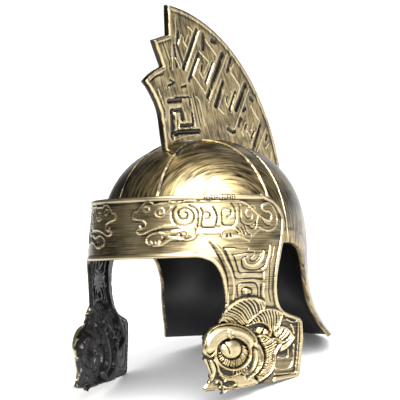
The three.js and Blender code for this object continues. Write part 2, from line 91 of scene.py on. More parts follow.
def node(tree, kind, **inputs):
    """A new node, with its settings as set_... and its inputs by name."""
    made = tree.nodes.new(kind)
    for key in [key for key in inputs if key.startswith("set_")]:
        setattr(made, key[4:], inputs.pop(key))
    return plug(tree, made, **inputs)


bpy.ops.mesh.primitive_plane_add(size=30, location=(0, 0, 0))
floor = bpy.context.object
floor.name = "floor"
floor_paint, tree, shader = new_paint("floor_paint")
plug(tree, shader, Base_Color=(0.34, 0.34, 0.34, 1), Roughness=0.8)
floor.data.materials.append(floor_paint)

SOFT_BOXES = [
    # name, place, what it points at, width, height, watts
    ("key_box", (1.2, -0.39, 1.5), (0, 0, 0.2), 1.9, 2.2, 145),
    ("fill_box", (-0.9, -2.0, 1.0), (0, 0, 0.2), 0.9, 0.6, 1),
]
for name, place, aim, width, height, watts in SOFT_BOXES:
    bpy.ops.object.light_add(type="AREA", location=place)
    box = bpy.context.object
    box.name = name
    box.data.shape = "ELLIPSE"
    box.data.size = width
    box.data.size_y = height
    box.data.energy = watts
    box.rotation_euler = (Vector(aim) - Vector(place)).to_track_quat("-Z", "Y").to_euler()

# The room is white to the eye. In the gloss of the gold it is dim, but for the white wall behind the helmet.
room = bpy.data.worlds.new("room")
room.use_nodes = True
lit = room.node_tree
ray = node(lit, "ShaderNodeLightPath").outputs
direction = node(lit, "ShaderNodeTexCoord").outputs["Generated"]
toward_wall = node(lit, "ShaderNodeVectorMath", set_operation="DOT_PRODUCT")
wire(lit, toward_wall.inputs, (direction, (-0.42, 0.9, 0.1)))
wall_light = node(
    lit, "ShaderNodeMapRange", Value=toward_wall.outputs["Value"],
    From_Min=0.82, From_Max=0.96, To_Min=0.1, To_Max=0.85,
)
level = node(lit, "ShaderNodeMix")
dim_in_gloss = (ray["Is Glossy Ray"], 3.6, wall_light.outputs[0])
wire(lit, (level.inputs[0], level.inputs[2], level.inputs[3]), dim_in_gloss)
plug(lit, lit.nodes["Background"], Strength=level.outputs[0], Color=(1, 1, 1, 1))
room.cycles.sampling_method = "NONE"
bpy.context.scene.world = room
bpy.context.scene.view_settings.view_transform = "Standard"

# Bowl: one thin shell of moulded black plastic with its neck guard, rubbed with antique gold outside and left
# black inside. A raised strap runs along each side of the crest and one crosses over the head, and a border
# is moulded round the ear arches and down the neck guard's front edges.

# The bowl's heights, half its width and length, its middle in plan, and the power that rounds it.
BOWL_TOP, BOWL_SPRING, NECK_RIM = 119, 6.1, -82.5
BOWL_WIDE, BOWL_LONG, BOWL_CENTRE, BOWL_ROUND = 98.3, 118.3, 7.1, 2.38
# Where the neck guard starts to flare, how late it bends, and how far its rim reaches out to the side and rear.
FLARE_TOP, FLARE_BEND, FLARE_WIDE, FLARE_LONG = 7, 3.4, 20, 28
BOWL_WALL = 2.6


def dome_curve(share):
    """The bowl's rounding: height for a distance from its middle, or the other way round, both from 0 to 1."""
    return (1 - share**BOWL_ROUND) ** (1 / BOWL_ROUND)


def neck_flare(rise, z):
    """How far the neck guard has flared, 0 on the bowl and 1 at the rim."""
    return np.where(rise < 0, np.clip((FLARE_TOP - z) / (FLARE_TOP - NECK_RIM), 0, 1) ** FLARE_BEND, 0)


def bowl_place(turn, rise, out=0.0):
    """Points at a plan angle (0 in front) and a rise (-1 neck rim, 1 top), some way out of the bowl's face."""
    turn, rise = np.broadcast_arrays(np.asarray(turn, float), np.asarray(rise, float))
    over = np.sin(np.clip(rise, 0, 1) * pi / 2)
    scale = np.clip(1 - over**2, 0, 1) ** (1 / BOWL_ROUND)
    z = np.where(
        rise >= 0,
        BOWL_SPRING + (BOWL_TOP + out - BOWL_SPRING) * over ** (2 / BOWL_ROUND),
        BOWL_SPRING + rise * (BOWL_SPRING - NECK_RIM),
    )
    flare = neck_flare(rise, z)
    side = BOWL_WIDE + out + FLARE_WIDE * flare
    length = BOWL_LONG + out + FLARE_LONG * flare
    return np.stack([side * scale * np.sin(turn), BOWL_CENTRE - length * scale * np.cos(turn), z], -1)


def bowl_chart(y, z):
    """The plan angle and rise at which the bowl's left side shows a point of the side view."""
    over = np.clip((z - BOWL_SPRING) / (BOWL_TOP - BOWL_SPRING), 0, 1) ** (BOWL_ROUND / 2)
    rise = np.where(z >= BOWL_SPRING, np.arcsin(over) * 2 / pi, (z - BOWL_SPRING) / (BOWL_SPRING - NECK_RIM))
    scale = np.clip(1 - over**2, 1e-9, 1) ** (1 / BOWL_ROUND)
    length = BOWL_LONG + FLARE_LONG * neck_flare(rise, z)
    return np.arccos(np.clip((BOWL_CENTRE - y) / (length * scale), -1, 1)), rise


def triples(items, key):
    """A property with three numbers, of all the vertices or faces of a mesh."""
    values = np.empty(len(items) * 3)
    items.foreach_get(key, values)
    return values.reshape(-1, 3)


def flat_blank(name, columns, rows):
    """A grid of so many columns and rows, not formed yet, with each vertex's column and row."""
    bpy.ops.object.select_all(action="DESELECT")
    bpy.ops.mesh.primitive_grid_add(x_subdivisions=len(columns) - 1, y_subdivisions=len(rows) - 1, size=1)
    blank = bpy.context.object
    blank.name = name
    spots = triples(blank.data.vertices, "co") + 0.5
    column = np.rint(spots[:, 0] * (len(columns) - 1)).astype(int)
    row = np.rint(spots[:, 1] * (len(rows) - 1)).astype(int)
    return blank, column, row


def form(piece, points):
    """Moves a piece's vertices to points given in millimetres, upright."""
    piece.data.vertices.foreach_set("co", (np.asarray(points, float) / 1000).ravel())
    piece.data.update()


def through(points, steps=6):
    """A smooth line through points."""
    points = np.asarray(points, float)
    line = []
    for i in range(len(points) - 1):
        p0, p1, p2, p3 = points[max(i - 1, 0)], points[i], points[i + 1], points[min(i + 2, len(points) - 1)]
        for f in np.arange(steps) / steps:
            v0, v1 = (p2 - p0) / 2, (p3 - p1) / 2
            cubic, square = 2 * p1 - 2 * p2 + v0 + v1, -3 * p1 + 3 * p2 - 2 * v0 - v1
            line.append(cubic * f**3 + square * f**2 + v0 * f + p1)
    return np.array([*line, points[-1]])


def nearest(spots, path):
    """How far each spot is from a line, and the line's nearest point."""
    path = np.asarray(path, float)
    best = np.full(len(spots), 1e9)
    place = np.zeros((len(spots), 2))
    for a, b in zip(path[:-1], path[1:]):
        along = b - a
        f = np.clip(((spots - a) @ along) / max(along @ along, 1e-12), 0, 1)
        point = a + f[:, None] * along
        away = np.hypot(*(spots - point).T)
        closer = away < best
        best[closer] = away[closer]
        place[closer] = point[closer]
    return best, place


def within(spots, outline):
    """Whether each spot lies inside a closed outline."""
    inside = np.zeros(len(spots), bool)
    for a, b in zip(outline, np.roll(outline, -1, axis=0)):
        if a[1] != b[1]:
            crosses = (a[1] > spots[:, 1]) != (b[1] > spots[:, 1])
            inside ^= crosses & (spots[:, 0] < (b[0] - a[0]) * (spots[:, 1] - a[1]) / (b[1] - a[1]) + a[0])
    return inside


def trim_plan(piece, spots, outline, keep_inside=True):
    """Plans a cut along an outline: which faces go, and where the vertices beside the cut move to."""
    corners = np.empty(len(piece.data.loops), int)
    piece.data.loops.foreach_get("vertex_index", corners)
    faces = corners.reshape(-1, 4)
    kept = within(spots[faces].mean(1), outline) == keep_inside
    in_kept = np.zeros(len(spots), bool)
    in_kept[faces[kept].ravel()] = True
    in_gone = np.zeros(len(spots), bool)
    in_gone[faces[~kept].ravel()] = True
    beside = np.where(in_kept & in_gone)[0]
    return ~kept, beside, nearest(spots[beside], np.vstack([outline, outline[:1]]))[1]


def take_up(piece):
    """Selects one piece and nothing else."""
    bpy.ops.object.select_all(action="DESELECT")
    bpy.context.view_layer.objects.active = piece
    piece.select_set(True)


def edit(action="SELECT"):
    """Opens the taken up piece in edit mode, all selected or all deselected."""
    bpy.ops.object.mode_set(mode="EDIT")
    bpy.ops.mesh.select_all(action=action)


def close():
    bpy.ops.object.mode_set(mode="OBJECT")


def choose_faces(piece, chosen):
    """Opens the taken up piece with the marked faces selected."""
    edit("DESELECT")
    close()
    piece.data.polygons.foreach_set("select", chosen)
    bpy.ops.object.mode_set(mode="EDIT")


def remove_faces(piece, gone):
    take_up(piece)
    choose_faces(piece, gone)
    bpy.ops.mesh.select_mode(type="FACE")
    bpy.ops.mesh.delete(type="FACE")
    bpy.ops.mesh.select_mode(type="VERT")
    close()


def weld(piece, distance):
    """Merges vertices that lie together and points the faces outwards."""
    take_up(piece)
    edit()
    bpy.ops.mesh.remove_doubles(threshold=distance)
    bpy.ops.mesh.normals_make_consistent(inside=False)
    close()


def give_wall(piece, wall):
    """Gives a formed sheet its thickness, inward, with the inner side in the second material."""
    bpy.context.view_layer.objects.active = piece
    for _ in range(2):
        piece.data.materials.append(None)
    shell = piece.modifiers.new("wall", "SOLIDIFY")
    shell.thickness = wall / 1000
    shell.offset = -1
    shell.use_even_offset = False
    shell.material_offset = 1
    shell.material_offset_rim = 0
    bpy.ops.object.modifier_apply(modifier=shell.name)


def set_down(piece):
    """Leans an upright piece back, puts nothing of it below the floor and smooths its shading."""
    take_up(piece)
    piece.matrix_world = on_floor
    bpy.ops.object.transform_apply(location=True, rotation=True, scale=True)
    form(piece, np.maximum(triples(piece.data.vertices, "co") * 1000, (-1e4, -1e4, 0)))
    bpy.ops.object.shade_smooth_by_angle(angle=radians(42))


def join(piece, extras):
    """Makes one mesh of a piece and what is moulded onto it."""
    take_up(piece)
    for extra in extras:
        extra.select_set(True)
    bpy.ops.object.join()


def note(piece, name, values):
    """Keeps a number for each vertex, which the material reads."""
    kept = piece.data.attributes.new(name, "FLOAT", "POINT")
    kept.data.foreach_set("value", np.asarray(values, np.float32))


EAR_ARCH = np.vstack(
    [
        [(-200, 6), (-8, 6)],
        through([(-8, 6), (-2, 9.5), (6, 12.4), (15, 12.6), (26, 10.6), (36, 6.6)])[1:],
        through(
            [(36, 6.6), (43, -1.5), (48, -14), (50.8, -28), (53, -44), (57.5, -58), (64, -70), (72, NECK_RIM)]
        )[1:],
    ]
)
opening = np.vstack([EAR_ARCH, [(72, -200), (-200, -200)]])

turns = np.linspace(-pi, pi, 289)
rises = np.concatenate([np.linspace(1, 0.12, 60), np.linspace(0.1, -1, 52)])
bowl, column, row = flat_blank("bowl", turns, rises[::-1])
turn, rise = turns[column], rises[::-1][row]
side_view = bowl_place(turn, rise)[:, 1:]
gone, beside, cut = trim_plan(bowl, side_view, opening, keep_inside=False)
edge_turn, edge_rise = bowl_chart(cut[:, 0], np.maximum(cut[:, 1], NECK_RIM))
turn[beside] = np.where(turn[beside] < 0, -edge_turn, edge_turn)
rise[beside] = edge_rise
form(bowl, bowl_place(turn, rise))
remove_faces(bowl, gone)
weld(bowl, 0.00005)

# The straps: half their width over the crown, what they gain on the way down, and the cross strap's two edges.
STRAP_WIDE, STRAP_SPREAD, CROSS_FRONT, CROSS_REAR = 11.3, 0.115, -9.5, 12
STRAP_EDGES = [
    # where the edge runs (front 1, rear -1, all over 0), a point of it, its normal away from the strap
    (part, (side * STRAP_WIDE, 0), (side, part * STRAP_SPREAD)) for part in (1, -1) for side in (1, -1)
]
STRAP_EDGES += [(0, (0, CROSS_FRONT), (0, -1)), (0, (0, CROSS_REAR), (0, 1))]
# The bead along a strap's edge: distance outside the edge, height.
BEAD = [(-1.6, 1), (-0.4, 1.9), (0.7, 0.2), (1.3, 0), (3.2, 0)]
for part, point, normal in STRAP_EDGES:
    for step, _ in BEAD:
        middles = triples(bowl.data.polygons, "center") * 1000
        near_edge = np.abs((middles[:, :2] - point) @ normal) < 8
        on_part = part * middles[:, 1] <= 6 * part * part
        choose_faces(bowl, near_edge & (middles[:, 2] > 2) & on_part)
        on_cut = Vector((point[0] + step * normal[0], point[1] + step * normal[1], 0)) / 1000
        bpy.ops.mesh.bisect(plane_co=on_cut, plane_no=(*normal, 0))
        close()
spots = triples(bowl.data.vertices, "co") * 1000
x, y, z = spots.T
out_of_strap = np.abs(x) - STRAP_WIDE - STRAP_SPREAD * np.abs(y)
outside = np.minimum(out_of_strap, np.maximum(CROSS_FRONT - y, y - CROSS_REAR))
raised = np.interp(outside, *np.transpose(BEAD))
raised[z < FLARE_TOP] = 0
form(bowl, spots + triples(bowl.data.vertices, "normal") * raised[:, None])
note(bowl, "edge", np.interp(outside, [-1.6, -0.4, 0.7], [0, 0.8, 0]) * (raised > 0))
# Painted shade: the gold is thinned on the far side, where the bowl reflects the dim room; also towards the
# rear and on the crown.
thin_gold_and_shade = np.clip((-x - 4) / 26, 0, 1) + np.clip((y - 4) / 26, 0, 1) + 0.7 * np.clip((z - 96) / 14, 0, 1)
foot = np.interp(outside, [0.2, 1.3, 3.2], [0, 0.7, 0]) * (z > FLARE_TOP)
note(bowl, "recess", np.maximum(foot, 0.34 * np.minimum(thin_gold_and_shade, 1)))
give_wall(bowl, BOWL_WALL)


def tube_along(name, path, section, place):
    """A closed moulding that follows a line, with its section given as (distance beside the line, height)."""
    along = np.gradient(path, axis=0)
    along /= np.hypot(*along.T)[:, None]
    beside = np.stack([-along[:, 1], along[:, 0]], -1)
    section = np.asarray([*section, section[0]], float)
    tube, column, row = flat_blank(name, path, section)
    spots = path[column] + beside[column] * section[row, :1]
    form(tube, place(spots, section[row, 1]))
    weld(tube, 0.00001)
    edit("DESELECT")
    bpy.ops.mesh.select_non_manifold()
    bpy.ops.mesh.fill_holes(sides=0)
    bpy.ops.mesh.select_all(action="SELECT")
    bpy.ops.mesh.normals_make_consistent(inside=False)
    close()
    return tube


ARCH_SECTION = [
    (15.4, -0.6), (14.6, 0.9), (13.8, 1.3), (10, 1.3), (5, 1.3), (1, 1.3), (0, 1), (-0.4, 0), (-0.4, -2.4),
    (0.2, -3), (1.6, -3.1), (2, -1.6), (12, -1.6),
]
FOOT_SECTION = [(1.7, 0.4), (1.2, 2.3), (-1.2, 2.3), (-1.7, 0.4)]
arch_line = through(EAR_ARCH[1::3], 3)
foot_line = through([(4.4, -58.2), (12, -61.4), (20, -65)], 4)


def on_bowl(side):
    def place(spots, out):
        z = np.maximum(spots[:, 1], NECK_RIM)
        turn, rise = bowl_chart(spots[:, 0], z)
        flat = bowl_place(turn, rise)
        return (flat + (bowl_place(turn, rise, 1) - flat) * out[:, None]) * (side, 1, 1)

    return place


def on_top(side):
    def place(spots, out):
        scale = np.hypot(spots[:, 0] / BOWL_WIDE, (spots[:, 1] - BOWL_CENTRE) / BOWL_LONG)
        z = BOWL_SPRING + (BOWL_TOP - BOWL_SPRING) * dome_curve(scale)
        return np.stack([side * spots[:, 0], spots[:, 1], z + out], -1)

    return place


trims = [tube_along("arch_border", arch_line, ARCH_SECTION, on_bowl(side)) for side in (1, -1)]
trims += [tube_along("foot_bar", foot_line, FOOT_SECTION, on_top(side)) for side in (1, -1)]

# The finish of all three mouldings: gold rubbed over black, so that it stays on what stands proud, thins out in
# long brush strokes and leaves the recesses black. Edges are rubbed brightest.


def number(tree, operation, *values, clamp=False):
    made = node(tree, "ShaderNodeMath", set_operation=operation, set_use_clamp=clamp)
    wire(tree, made.inputs, values)
    return made.outputs[0]


def blend_colours(tree, share, first, second):
    made = node(tree, "ShaderNodeMix", set_data_type="RGBA")
    wire(tree, (made.inputs[0], made.inputs[6], made.inputs[7]), (share, first, second))
    return made.outputs[2]


rubbed_gold = bpy.data.node_groups.new("rubbed_gold", "ShaderNodeTree")
for name, kind, value in [
    ("Strokes", "NodeSocketVector", None),
    ("Blotches", "NodeSocketVector", None),
    ("Recess", "NodeSocketFloat", 0),
    ("Edge", "NodeSocketFloat", 0),
    ("Cover", "NodeSocketFloat", 1),
    ("Wear", "NodeSocketFloat", 4),
    ("Gold", "NodeSocketColor", (0.33, 0.24, 0.1, 1)),
    ("Rubbed edge", "NodeSocketColor", (0.62, 0.5, 0.27, 1)),
]:
    socket = rubbed_gold.interface.new_socket(name, in_out="INPUT", socket_type=kind)
    if value is not None:
        socket.default_value = value
for name, kind in [("Color", "Color"), ("Roughness", "Float"), ("Height", "Float")]:
    rubbed_gold.interface.new_socket(name, in_out="OUTPUT", socket_type="NodeSocket" + kind)
given = node(rubbed_gold, "NodeGroupInput").outputs
strokes = node(
    rubbed_gold, "ShaderNodeTexNoise", Vector=given["Strokes"], Scale=1.0, Detail=5.0, Roughness=0.62
).outputs["Fac"]
blotches = node(
    rubbed_gold, "ShaderNodeTexNoise", Vector=given["Blotches"], Scale=1.0, Detail=3.0, Roughness=0.55
).outputs["Fac"]
worn = number(rubbed_gold, "MULTIPLY", number(rubbed_gold, "SUBTRACT", strokes, 0.5), given["Wear"])
patchy = number(rubbed_gold, "MULTIPLY_ADD", blotches, 2.2, -1.1)
cover = number(rubbed_gold, "ADD", given["Cover"], worn)
cover = number(rubbed_gold, "ADD", cover, patchy)
# Recess also carries painted shade, where a piece thins its gold to stand for shade.
cover = number(rubbed_gold, "SUBTRACT", cover, number(rubbed_gold, "MULTIPLY", given["Recess"], 1.5))
cover = number(rubbed_gold, "ADD", cover, given["Edge"], clamp=True)
tone = number(rubbed_gold, "MULTIPLY_ADD", worn, 0.5, 0.25)
tone = number(rubbed_gold, "ADD", tone, number(rubbed_gold, "MULTIPLY", given["Edge"], 0.9), clamp=True)
gold = blend_colours(rubbed_gold, tone, given["Gold"], given["Rubbed edge"])
painted = blend_colours(rubbed_gold, cover, (0.022, 0.017, 0.012, 1), gold)
rough = number(rubbed_gold, "MULTIPLY_ADD", strokes, 0.3, 0.22)
height = number(rubbed_gold, "ADD", strokes, number(rubbed_gold, "MULTIPLY", blotches, 0.5))
node(rubbed_gold, "NodeGroupOutput", Color=painted, Roughness=rough, Height=height)


def gold_paint(name, strokes_round, stroke_scale, cover, wear, gold, rubbed):
    """Antique gold over black plastic, brushed round a direction given as turn and rise."""
    paint, tree, shader = new_paint(name)
    where = node(tree, "ShaderNodeTexCoord").outputs["Object"]
    upright = node(tree, "ShaderNodeMapping", Vector=where, Rotation=(radians(LEAN), 0, 0))
    turn, rise = strokes_round
    scaled = node(
        tree, "ShaderNodeMapping", set_vector_type="TEXTURE", Vector=upright.outputs[0],
        Rotation=(radians(90 - rise), 0, radians(turn)), Scale=[1 / value for value in stroke_scale],
    )
    blotches = node(tree, "ShaderNodeMapping", Vector=where, Scale=(28, 28, 45))
    recess = node(tree, "ShaderNodeAttribute", set_attribute_name="recess")
    edge = node(tree, "ShaderNodeAttribute", set_attribute_name="edge")
    group = node(
        tree, "ShaderNodeGroup", set_node_tree=rubbed_gold, Strokes=scaled.outputs[0],
        Blotches=blotches.outputs[0], Recess=recess.outputs["Fac"], Edge=edge.outputs["Fac"], Cover=cover,
        Wear=wear, Gold=(*gold, 1), Rubbed_edge=(*rubbed, 1),
    )
    grain = node(tree, "ShaderNodeBump", Height=group.outputs["Height"], Strength=0.12, Distance=0.0004)
    plug(tree, shader, Base_Color=group.outputs["Color"], Roughness=group.outputs["Roughness"])
    plug(tree, shader, Normal=grain.outputs[0], Metallic=1.0, Coat_Weight=0.4, Coat_Roughness=0.16)
    return paint


def black_plastic(name, roughness):
    """The bare moulded plastic inside, with the faint orange peel of the mould."""
    paint, tree, shader = new_paint(name)
    where = node(tree, "ShaderNodeTexCoord").outputs["Object"]
    peel = node(tree, "ShaderNodeTexNoise", Vector=where, Scale=160.0, Detail=2.0)
    haze = node(tree, "ShaderNodeTexNoise", Vector=where, Scale=14.0, Detail=3.0).outputs["Fac"]
    colour = blend_colours(tree, haze, (0.004, 0.004, 0.005, 1), (0.011, 0.009, 0.009, 1))
    varied = number(tree, "MULTIPLY_ADD", haze, 0.14, roughness - 0.07)
    grain = node(tree, "ShaderNodeBump", Height=peel.outputs["Fac"], Strength=0.08, Distance=0.0005)
    plug(tree, shader, Base_Color=colour, Roughness=varied, Normal=grain.outputs[0])
    return paint


inside_black = black_plastic("inside_black", 0.32)
bowl_gold = gold_paint("bowl_gold", (62, 8), (42, 42, 900), 0.66, 3.7, (0.25, 0.18, 0.07), (0.62, 0.51, 0.29))
bowl.data.materials[0] = bowl_gold
bowl.data.materials[1] = inside_black
for trim in trims:
    trim.data.materials.append(bowl_gold)
join(bowl, trims)
set_down(bowl)
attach(bowl, "root")
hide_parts("skull_dome")

# Face guard: the brow band and both cheek guards, moulded in one sheet that is fixed to the bowl's lower edge.
# Lips run along its edges, two beasts face each other on the band, key patterns cover the necks of the cheek
# guards and a bird-beast's head in high relief covers each cheek. The relief shows from inside as well.

# Half the guard's length and width at z = 0, its upper edge, how far it leans in up to there, and its wall.
GUARD_LONG, GUARD_WIDE, BAND_TOP, BAND_LEAN, GUARD_WALL = 127.4, 106, 59.9, 6.7, 2.0
# The band's ornament is laid out on the length round half the band at half its height.
arc_turn = np.linspace(0, pi, 2001)
arc_step = np.hypot(124.05 * np.sin(arc_turn), 102.65 * np.cos(arc_turn))
arc_length = np.concatenate([[0], np.cumsum((arc_step[1:] + arc_step[:-1]) / 2 * np.diff(arc_turn))])


def side_y(turn, z):
    """Where a point of the guard stands in the side view."""
    return -(GUARD_LONG - BAND_LEAN * np.clip(z / BAND_TOP, 0, None)) * np.cos(turn)


def guard_surface(turn, z):
    """The guard's outer face: an oval band that runs down into two nearly flat cheeks."""
    half_width = GUARD_WIDE - BAND_LEAN * np.clip(z / BAND_TOP, 0, None)
    y = side_y(turn, z)
    f = np.clip((-z - 5) / 75, 0, 1)
    bend = f * f * (3 - 2 * f)
    x = half_width * np.abs(np.sin(turn)) * (1 - bend) + (83.3 + (y + 81.4) * 0.29) * bend
    return np.stack([x * np.sign(turn), y, z + 0 * turn], -1)


def guard_place(turn, z, out):
    """Points some way out of the guard's face, square to it."""
    turn = np.where(np.abs(turn) < 1e-5, 1e-5, turn)
    across = guard_surface(turn + 1e-6, z) - guard_surface(turn - 1e-6, z)
    upward = guard_surface(turn, z + 0.5) - guard_surface(turn, z - 0.5)
    outward = np.cross(across, upward)
    outward /= np.linalg.norm(outward, axis=-1)[:, None]
    return guard_surface(turn, z) + outward * out[:, None]


FACE_EDGE = through([(-104, 0), (-94.7, -1), (-86.4, -6), (-81, -16), (-78.3, -30), (-77.2, -46)])
HEAD_PARTS = [
    # points, steps between two of them
    ([(-82, -57), (-87.5, -62.8), (-93, -65.4), (-100, -69.4), (-105, -75), (-108, -82), (-107.6, -88.5)], 5),
    ([(-107.6, -88.5), (-106, -93.5), (-106.4, -96.5), (-104.2, -102), (-101.8, -108.3), (-102, -114.2)], 5),
    ([(-102, -114.2), (-104.4, -120.4), (-108.6, -125.2), (-101, -126.4), (-93.5, -125.9), (-89, -123)], 5),
    ([(-87.6, -127), (-86.8, -130.6), (-84.5, -129.4)], 1),
    ([(-81.4, -127.6), (-72.9, -127), (-64.3, -126.4), (-55.7, -125.6), (-46, -124.6), (-35, -123.8)], 3),
]
HEAD_EDGE = np.vstack([through(points, steps) for points, steps in HEAD_PARTS])
REAR_EDGE = np.vstack(
    [
        [(-20, -122.6), (4, -120.6), (7.6, -119.6), (9.4, -116), (15, -82), (15, -66), (11.9, -61.5), (4, -59)],
        through(
            [(4, -59), (-7, -55), (-14, -48), (-17.5, -36), (-17.6, -22), (-13.5, -5), (-4, 16), (1, 31)]
        )[1:],
        through([(1, 31), (0.4, 39), (-4.5, 48), (-13, 54.6), (-26, BAND_TOP)])[1:],
    ]
)
guard_outline = np.vstack([FACE_EDGE, HEAD_EDGE, REAR_EDGE, [(-200, 60.2), (-200, 0)]])
columns = [np.linspace(-200, -56, 202), np.linspace(-56, 56, 94)[1:-1], np.linspace(56, 200, 202)]
columns = np.concatenate(columns)
rows = np.concatenate([np.linspace(-132, -1.6, 181), np.linspace(-0.8, BAND_TOP, 72)])
guard, column, row = flat_blank("guard", columns, rows)
around, z = columns[column], rows[row].copy()
turn = np.interp(np.abs(around), arc_length, arc_turn) * np.sign(around)
side_view = np.stack([side_y(turn, z), z], -1)
gone, beside, cut = trim_plan(guard, side_view, guard_outline)
edge_turn = np.arccos(np.clip(cut[:, 0] / side_y(0, cut[:, 1]), -1, 1))
turn[beside] = np.where(turn[beside] < 0, -edge_turn, edge_turn)
z[beside] = cut[:, 1]
around = np.interp(np.abs(turn), arc_turn, arc_length) * np.sign(around)
side_view = np.stack([side_y(turn, z), z], -1)
band_view = np.stack([np.abs(around), z], -1)
relief = np.zeros(len(z))


def near_line(spots, path, width):
    """The spots beside a line, and how far they are from it in half widths."""
    path = np.asarray(path, float)
    low, high = path.min(0) - width, path.max(0) + width
    hit = np.all((spots > low) & (spots < high), axis=1)
    return hit, nearest(spots[hit], path)[0] / (width / 2)


def carve(relief, spots, path, width, top):
    """Raises a rounded ridge along a line, up to a height above the sheet."""
    hit, away = near_line(spots, path, width)
    raised = relief[hit] + (top - relief[hit]) * np.sqrt(np.clip(1 - away**2, 0, 1))
    relief[hit] = np.where(away < 1, np.maximum(relief[hit], raised), relief[hit])


def incise(relief, spots, path, width, depth):
    """Sinks a groove along a line, below what is there."""
    hit, away = near_line(spots, path, width)
    relief[hit] -= depth * np.clip(1 - away**2, 0, 1)


def lift(relief, spots, outline, top, slope):
    """Raises the inside of an outline to a height, with sloped sides."""
    outline = np.asarray(outline, float)
    low, high = outline.min(0) - 1, outline.max(0) + 1
    hit = np.where(np.all((spots > low) & (spots < high), axis=1))[0]
    hit = hit[within(spots[hit], outline)]
    f = np.clip(nearest(spots[hit], np.vstack([outline, outline[:1]]))[0] / slope, 0, 1)
    raised = relief[hit] + (top - relief[hit]) * np.sqrt(1 - (1 - f) ** 2)
    relief[hit] = np.maximum(relief[hit], raised)


def round_lip(relief, away, half, height, foot):
    """Lays a rounded lip along an edge, from how far each spot is from that edge."""
    rounding = np.sqrt(np.clip(1 - ((away - half) / half) ** 2, 0, 1))
    return np.where(away < 2 * half, height * rounding + foot, relief)


def pairs(first, second, count):
    """So many pairs of points, spread evenly along two lines."""
    for f in (np.arange(count) + 0.5) / count:
        yield [line[int(f * (len(line) - 1))] for line in (first, second)]


BEAST = {
    "crown": [(16, 46), (18, 48.5), (24, 54), (29.5, 54), (33, 52), (38, 52.5), (45, 52.5), (49, 54.5)],
    "back": [(49, 54), (55.5, 53), (68, 54.5), (87, 53), (108.5, 54), (122.5, 53), (131.5, 49), (140, 41.5),
      (150, 35.5), (156.5, 34), (160.5, 38), (158, 43), (152, 43.5), (148, 46), (150, 49.5), (157, 51.5),
      (163.5, 48), (167.5, 41), (167, 31.5), (160, 26), (151, 24.5), (142, 27.5)],
    "snout": [(16, 46), (11.5, 45), (11, 40), (14.5, 38.5), (20, 37.5), (24, 35), (25, 31.5), (21, 29),
      (18.5, 32)],
    "chin": [(21, 29), (16.5, 28.5), (15.5, 26), (18.5, 24), (23, 24.5), (30, 27.5), (38, 29.5), (46, 30.5),
      (56.5, 30.5)],
    "eye": [(21, 48.5), (24, 50), (28, 48.5), (27.5, 45.5), (24, 45), (21, 48.5)],
    "ear": [(41.5, 47.5), (37.5, 47.5), (33.5, 44.5), (35.5, 40.5), (41, 39.5), (45, 43), (50, 48.5)],
    "ear_curl": [(43, 46), (42, 42.5), (38.5, 43), (38.5, 45), (40, 45.5)],
    "arm": [(26, 16), (26, 20), (31.5, 23.5), (38, 24.5), (44.5, 22.5), (50, 25), (56.5, 25), (63, 26),
      (66, 22.5), (64, 20)],
    "arm_low": [(33, 12.5), (40.5, 13), (46, 16), (52.5, 18.5), (59, 17.5), (66.5, 17), (72, 19.5),
      (74, 23.5), (73.5, 29)],
    "first_claw": [(26, 16), (29, 13.5), (30, 16.5)],
    "second_claw": [(30, 16.5), (33, 12.5), (34.5, 15.5)],
    "third_claw": [(34.5, 15.5), (36.5, 12.5), (38, 16)],
    "hind": [(98.5, 23), (100.5, 25.5), (106.5, 26.5), (113.5, 26), (118, 23), (122.5, 20)],
    "hind_low": [(98.5, 23), (99.5, 19), (107, 17.5), (117.5, 18.5), (128, 15)],
    "belly": [(74, 23.5), (85.5, 23), (97.5, 23)],
}
BEAST_GROOVES = [
    [(55, 49), (51.5, 45), (51, 40), (53, 34.5), (56.5, 31.5), (64, 30.5), (70.5, 34), (72, 40), (69, 45.5),
      (63, 47.5), (57.5, 45), (57, 40.5), (60, 37), (64.5, 37.5), (66, 41), (64, 43)],
    [(67.5, 49.5), (74, 46.5), (76.5, 41), (75, 29)],
    [(79, 47), (81, 41.5), (79, 30), (85.5, 28.5), (93, 29.5), (95, 40), (91.5, 48)],
    [(81, 41.5), (84.5, 43), (88, 41), (87, 37), (84, 36.5)],
    [(111.5, 51), (115.5, 44), (114, 32), (106.5, 30), (100.5, 31.5), (100.5, 42.5), (104, 46), (110, 45),
      (110, 40), (106, 38)],
    [(120, 50.5), (120.5, 41), (121, 33), (129.5, 29.5), (138.5, 33.5), (140.5, 41), (135.5, 45.5),
      (129, 45.5), (126, 41.5), (128, 37), (133, 37), (134, 40)],
    [(124.5, 49.5), (130, 48.5), (138.5, 47)],
    [(74, 29), (97.5, 28.5)],
    [(42, 23), (43.5, 19), (40.5, 16.5)],
    [(48.5, 21.5), (54, 22), (58, 24), (59, 20.5)],
    [(104.5, 21.5), (104.5, 18)],
    [(108, 22), (108.5, 18)],
    [(112.5, 26.5), (116.5, 22.5)],
    [(116, 27.5), (120, 22.5)],
    [(120.5, 28), (124, 22)],
    [(124.5, 28.5), (126.5, 22.5), (130.5, 20.5)],
    [(129.5, 29), (134, 26.5), (138, 29.5), (138, 33)],
    [(144.5, 39.5), (147.5, 34), (151, 30.5), (157, 29.5)],
]
beast_body = BEAST["snout"][::-1] + BEAST["crown"] + BEAST["back"][1:-1] + [
    (140, 24), (128, 15), (107, 17.5), (99.5, 19), (97.5, 23), (85.5, 23), (74, 23.5), (72, 19.5), (59, 17.5),
    (46, 16), (40.5, 13), (33, 12.5), (26, 16), (26, 20), (38, 24.5), (56.5, 28), (38, 29.5), (30, 27.5),
    (23, 24.5), (18.5, 24), (15.5, 26), (16.5, 28.5), (21, 29),
]
lift(relief, band_view, beast_body, 0.4, 1.2)
for path in BEAST_GROOVES:
    incise(relief, band_view, through(path, 4), 1.8, 0.8)
for path in BEAST.values():
    carve(relief, band_view, through(path, 4), 1.7, 1.0)

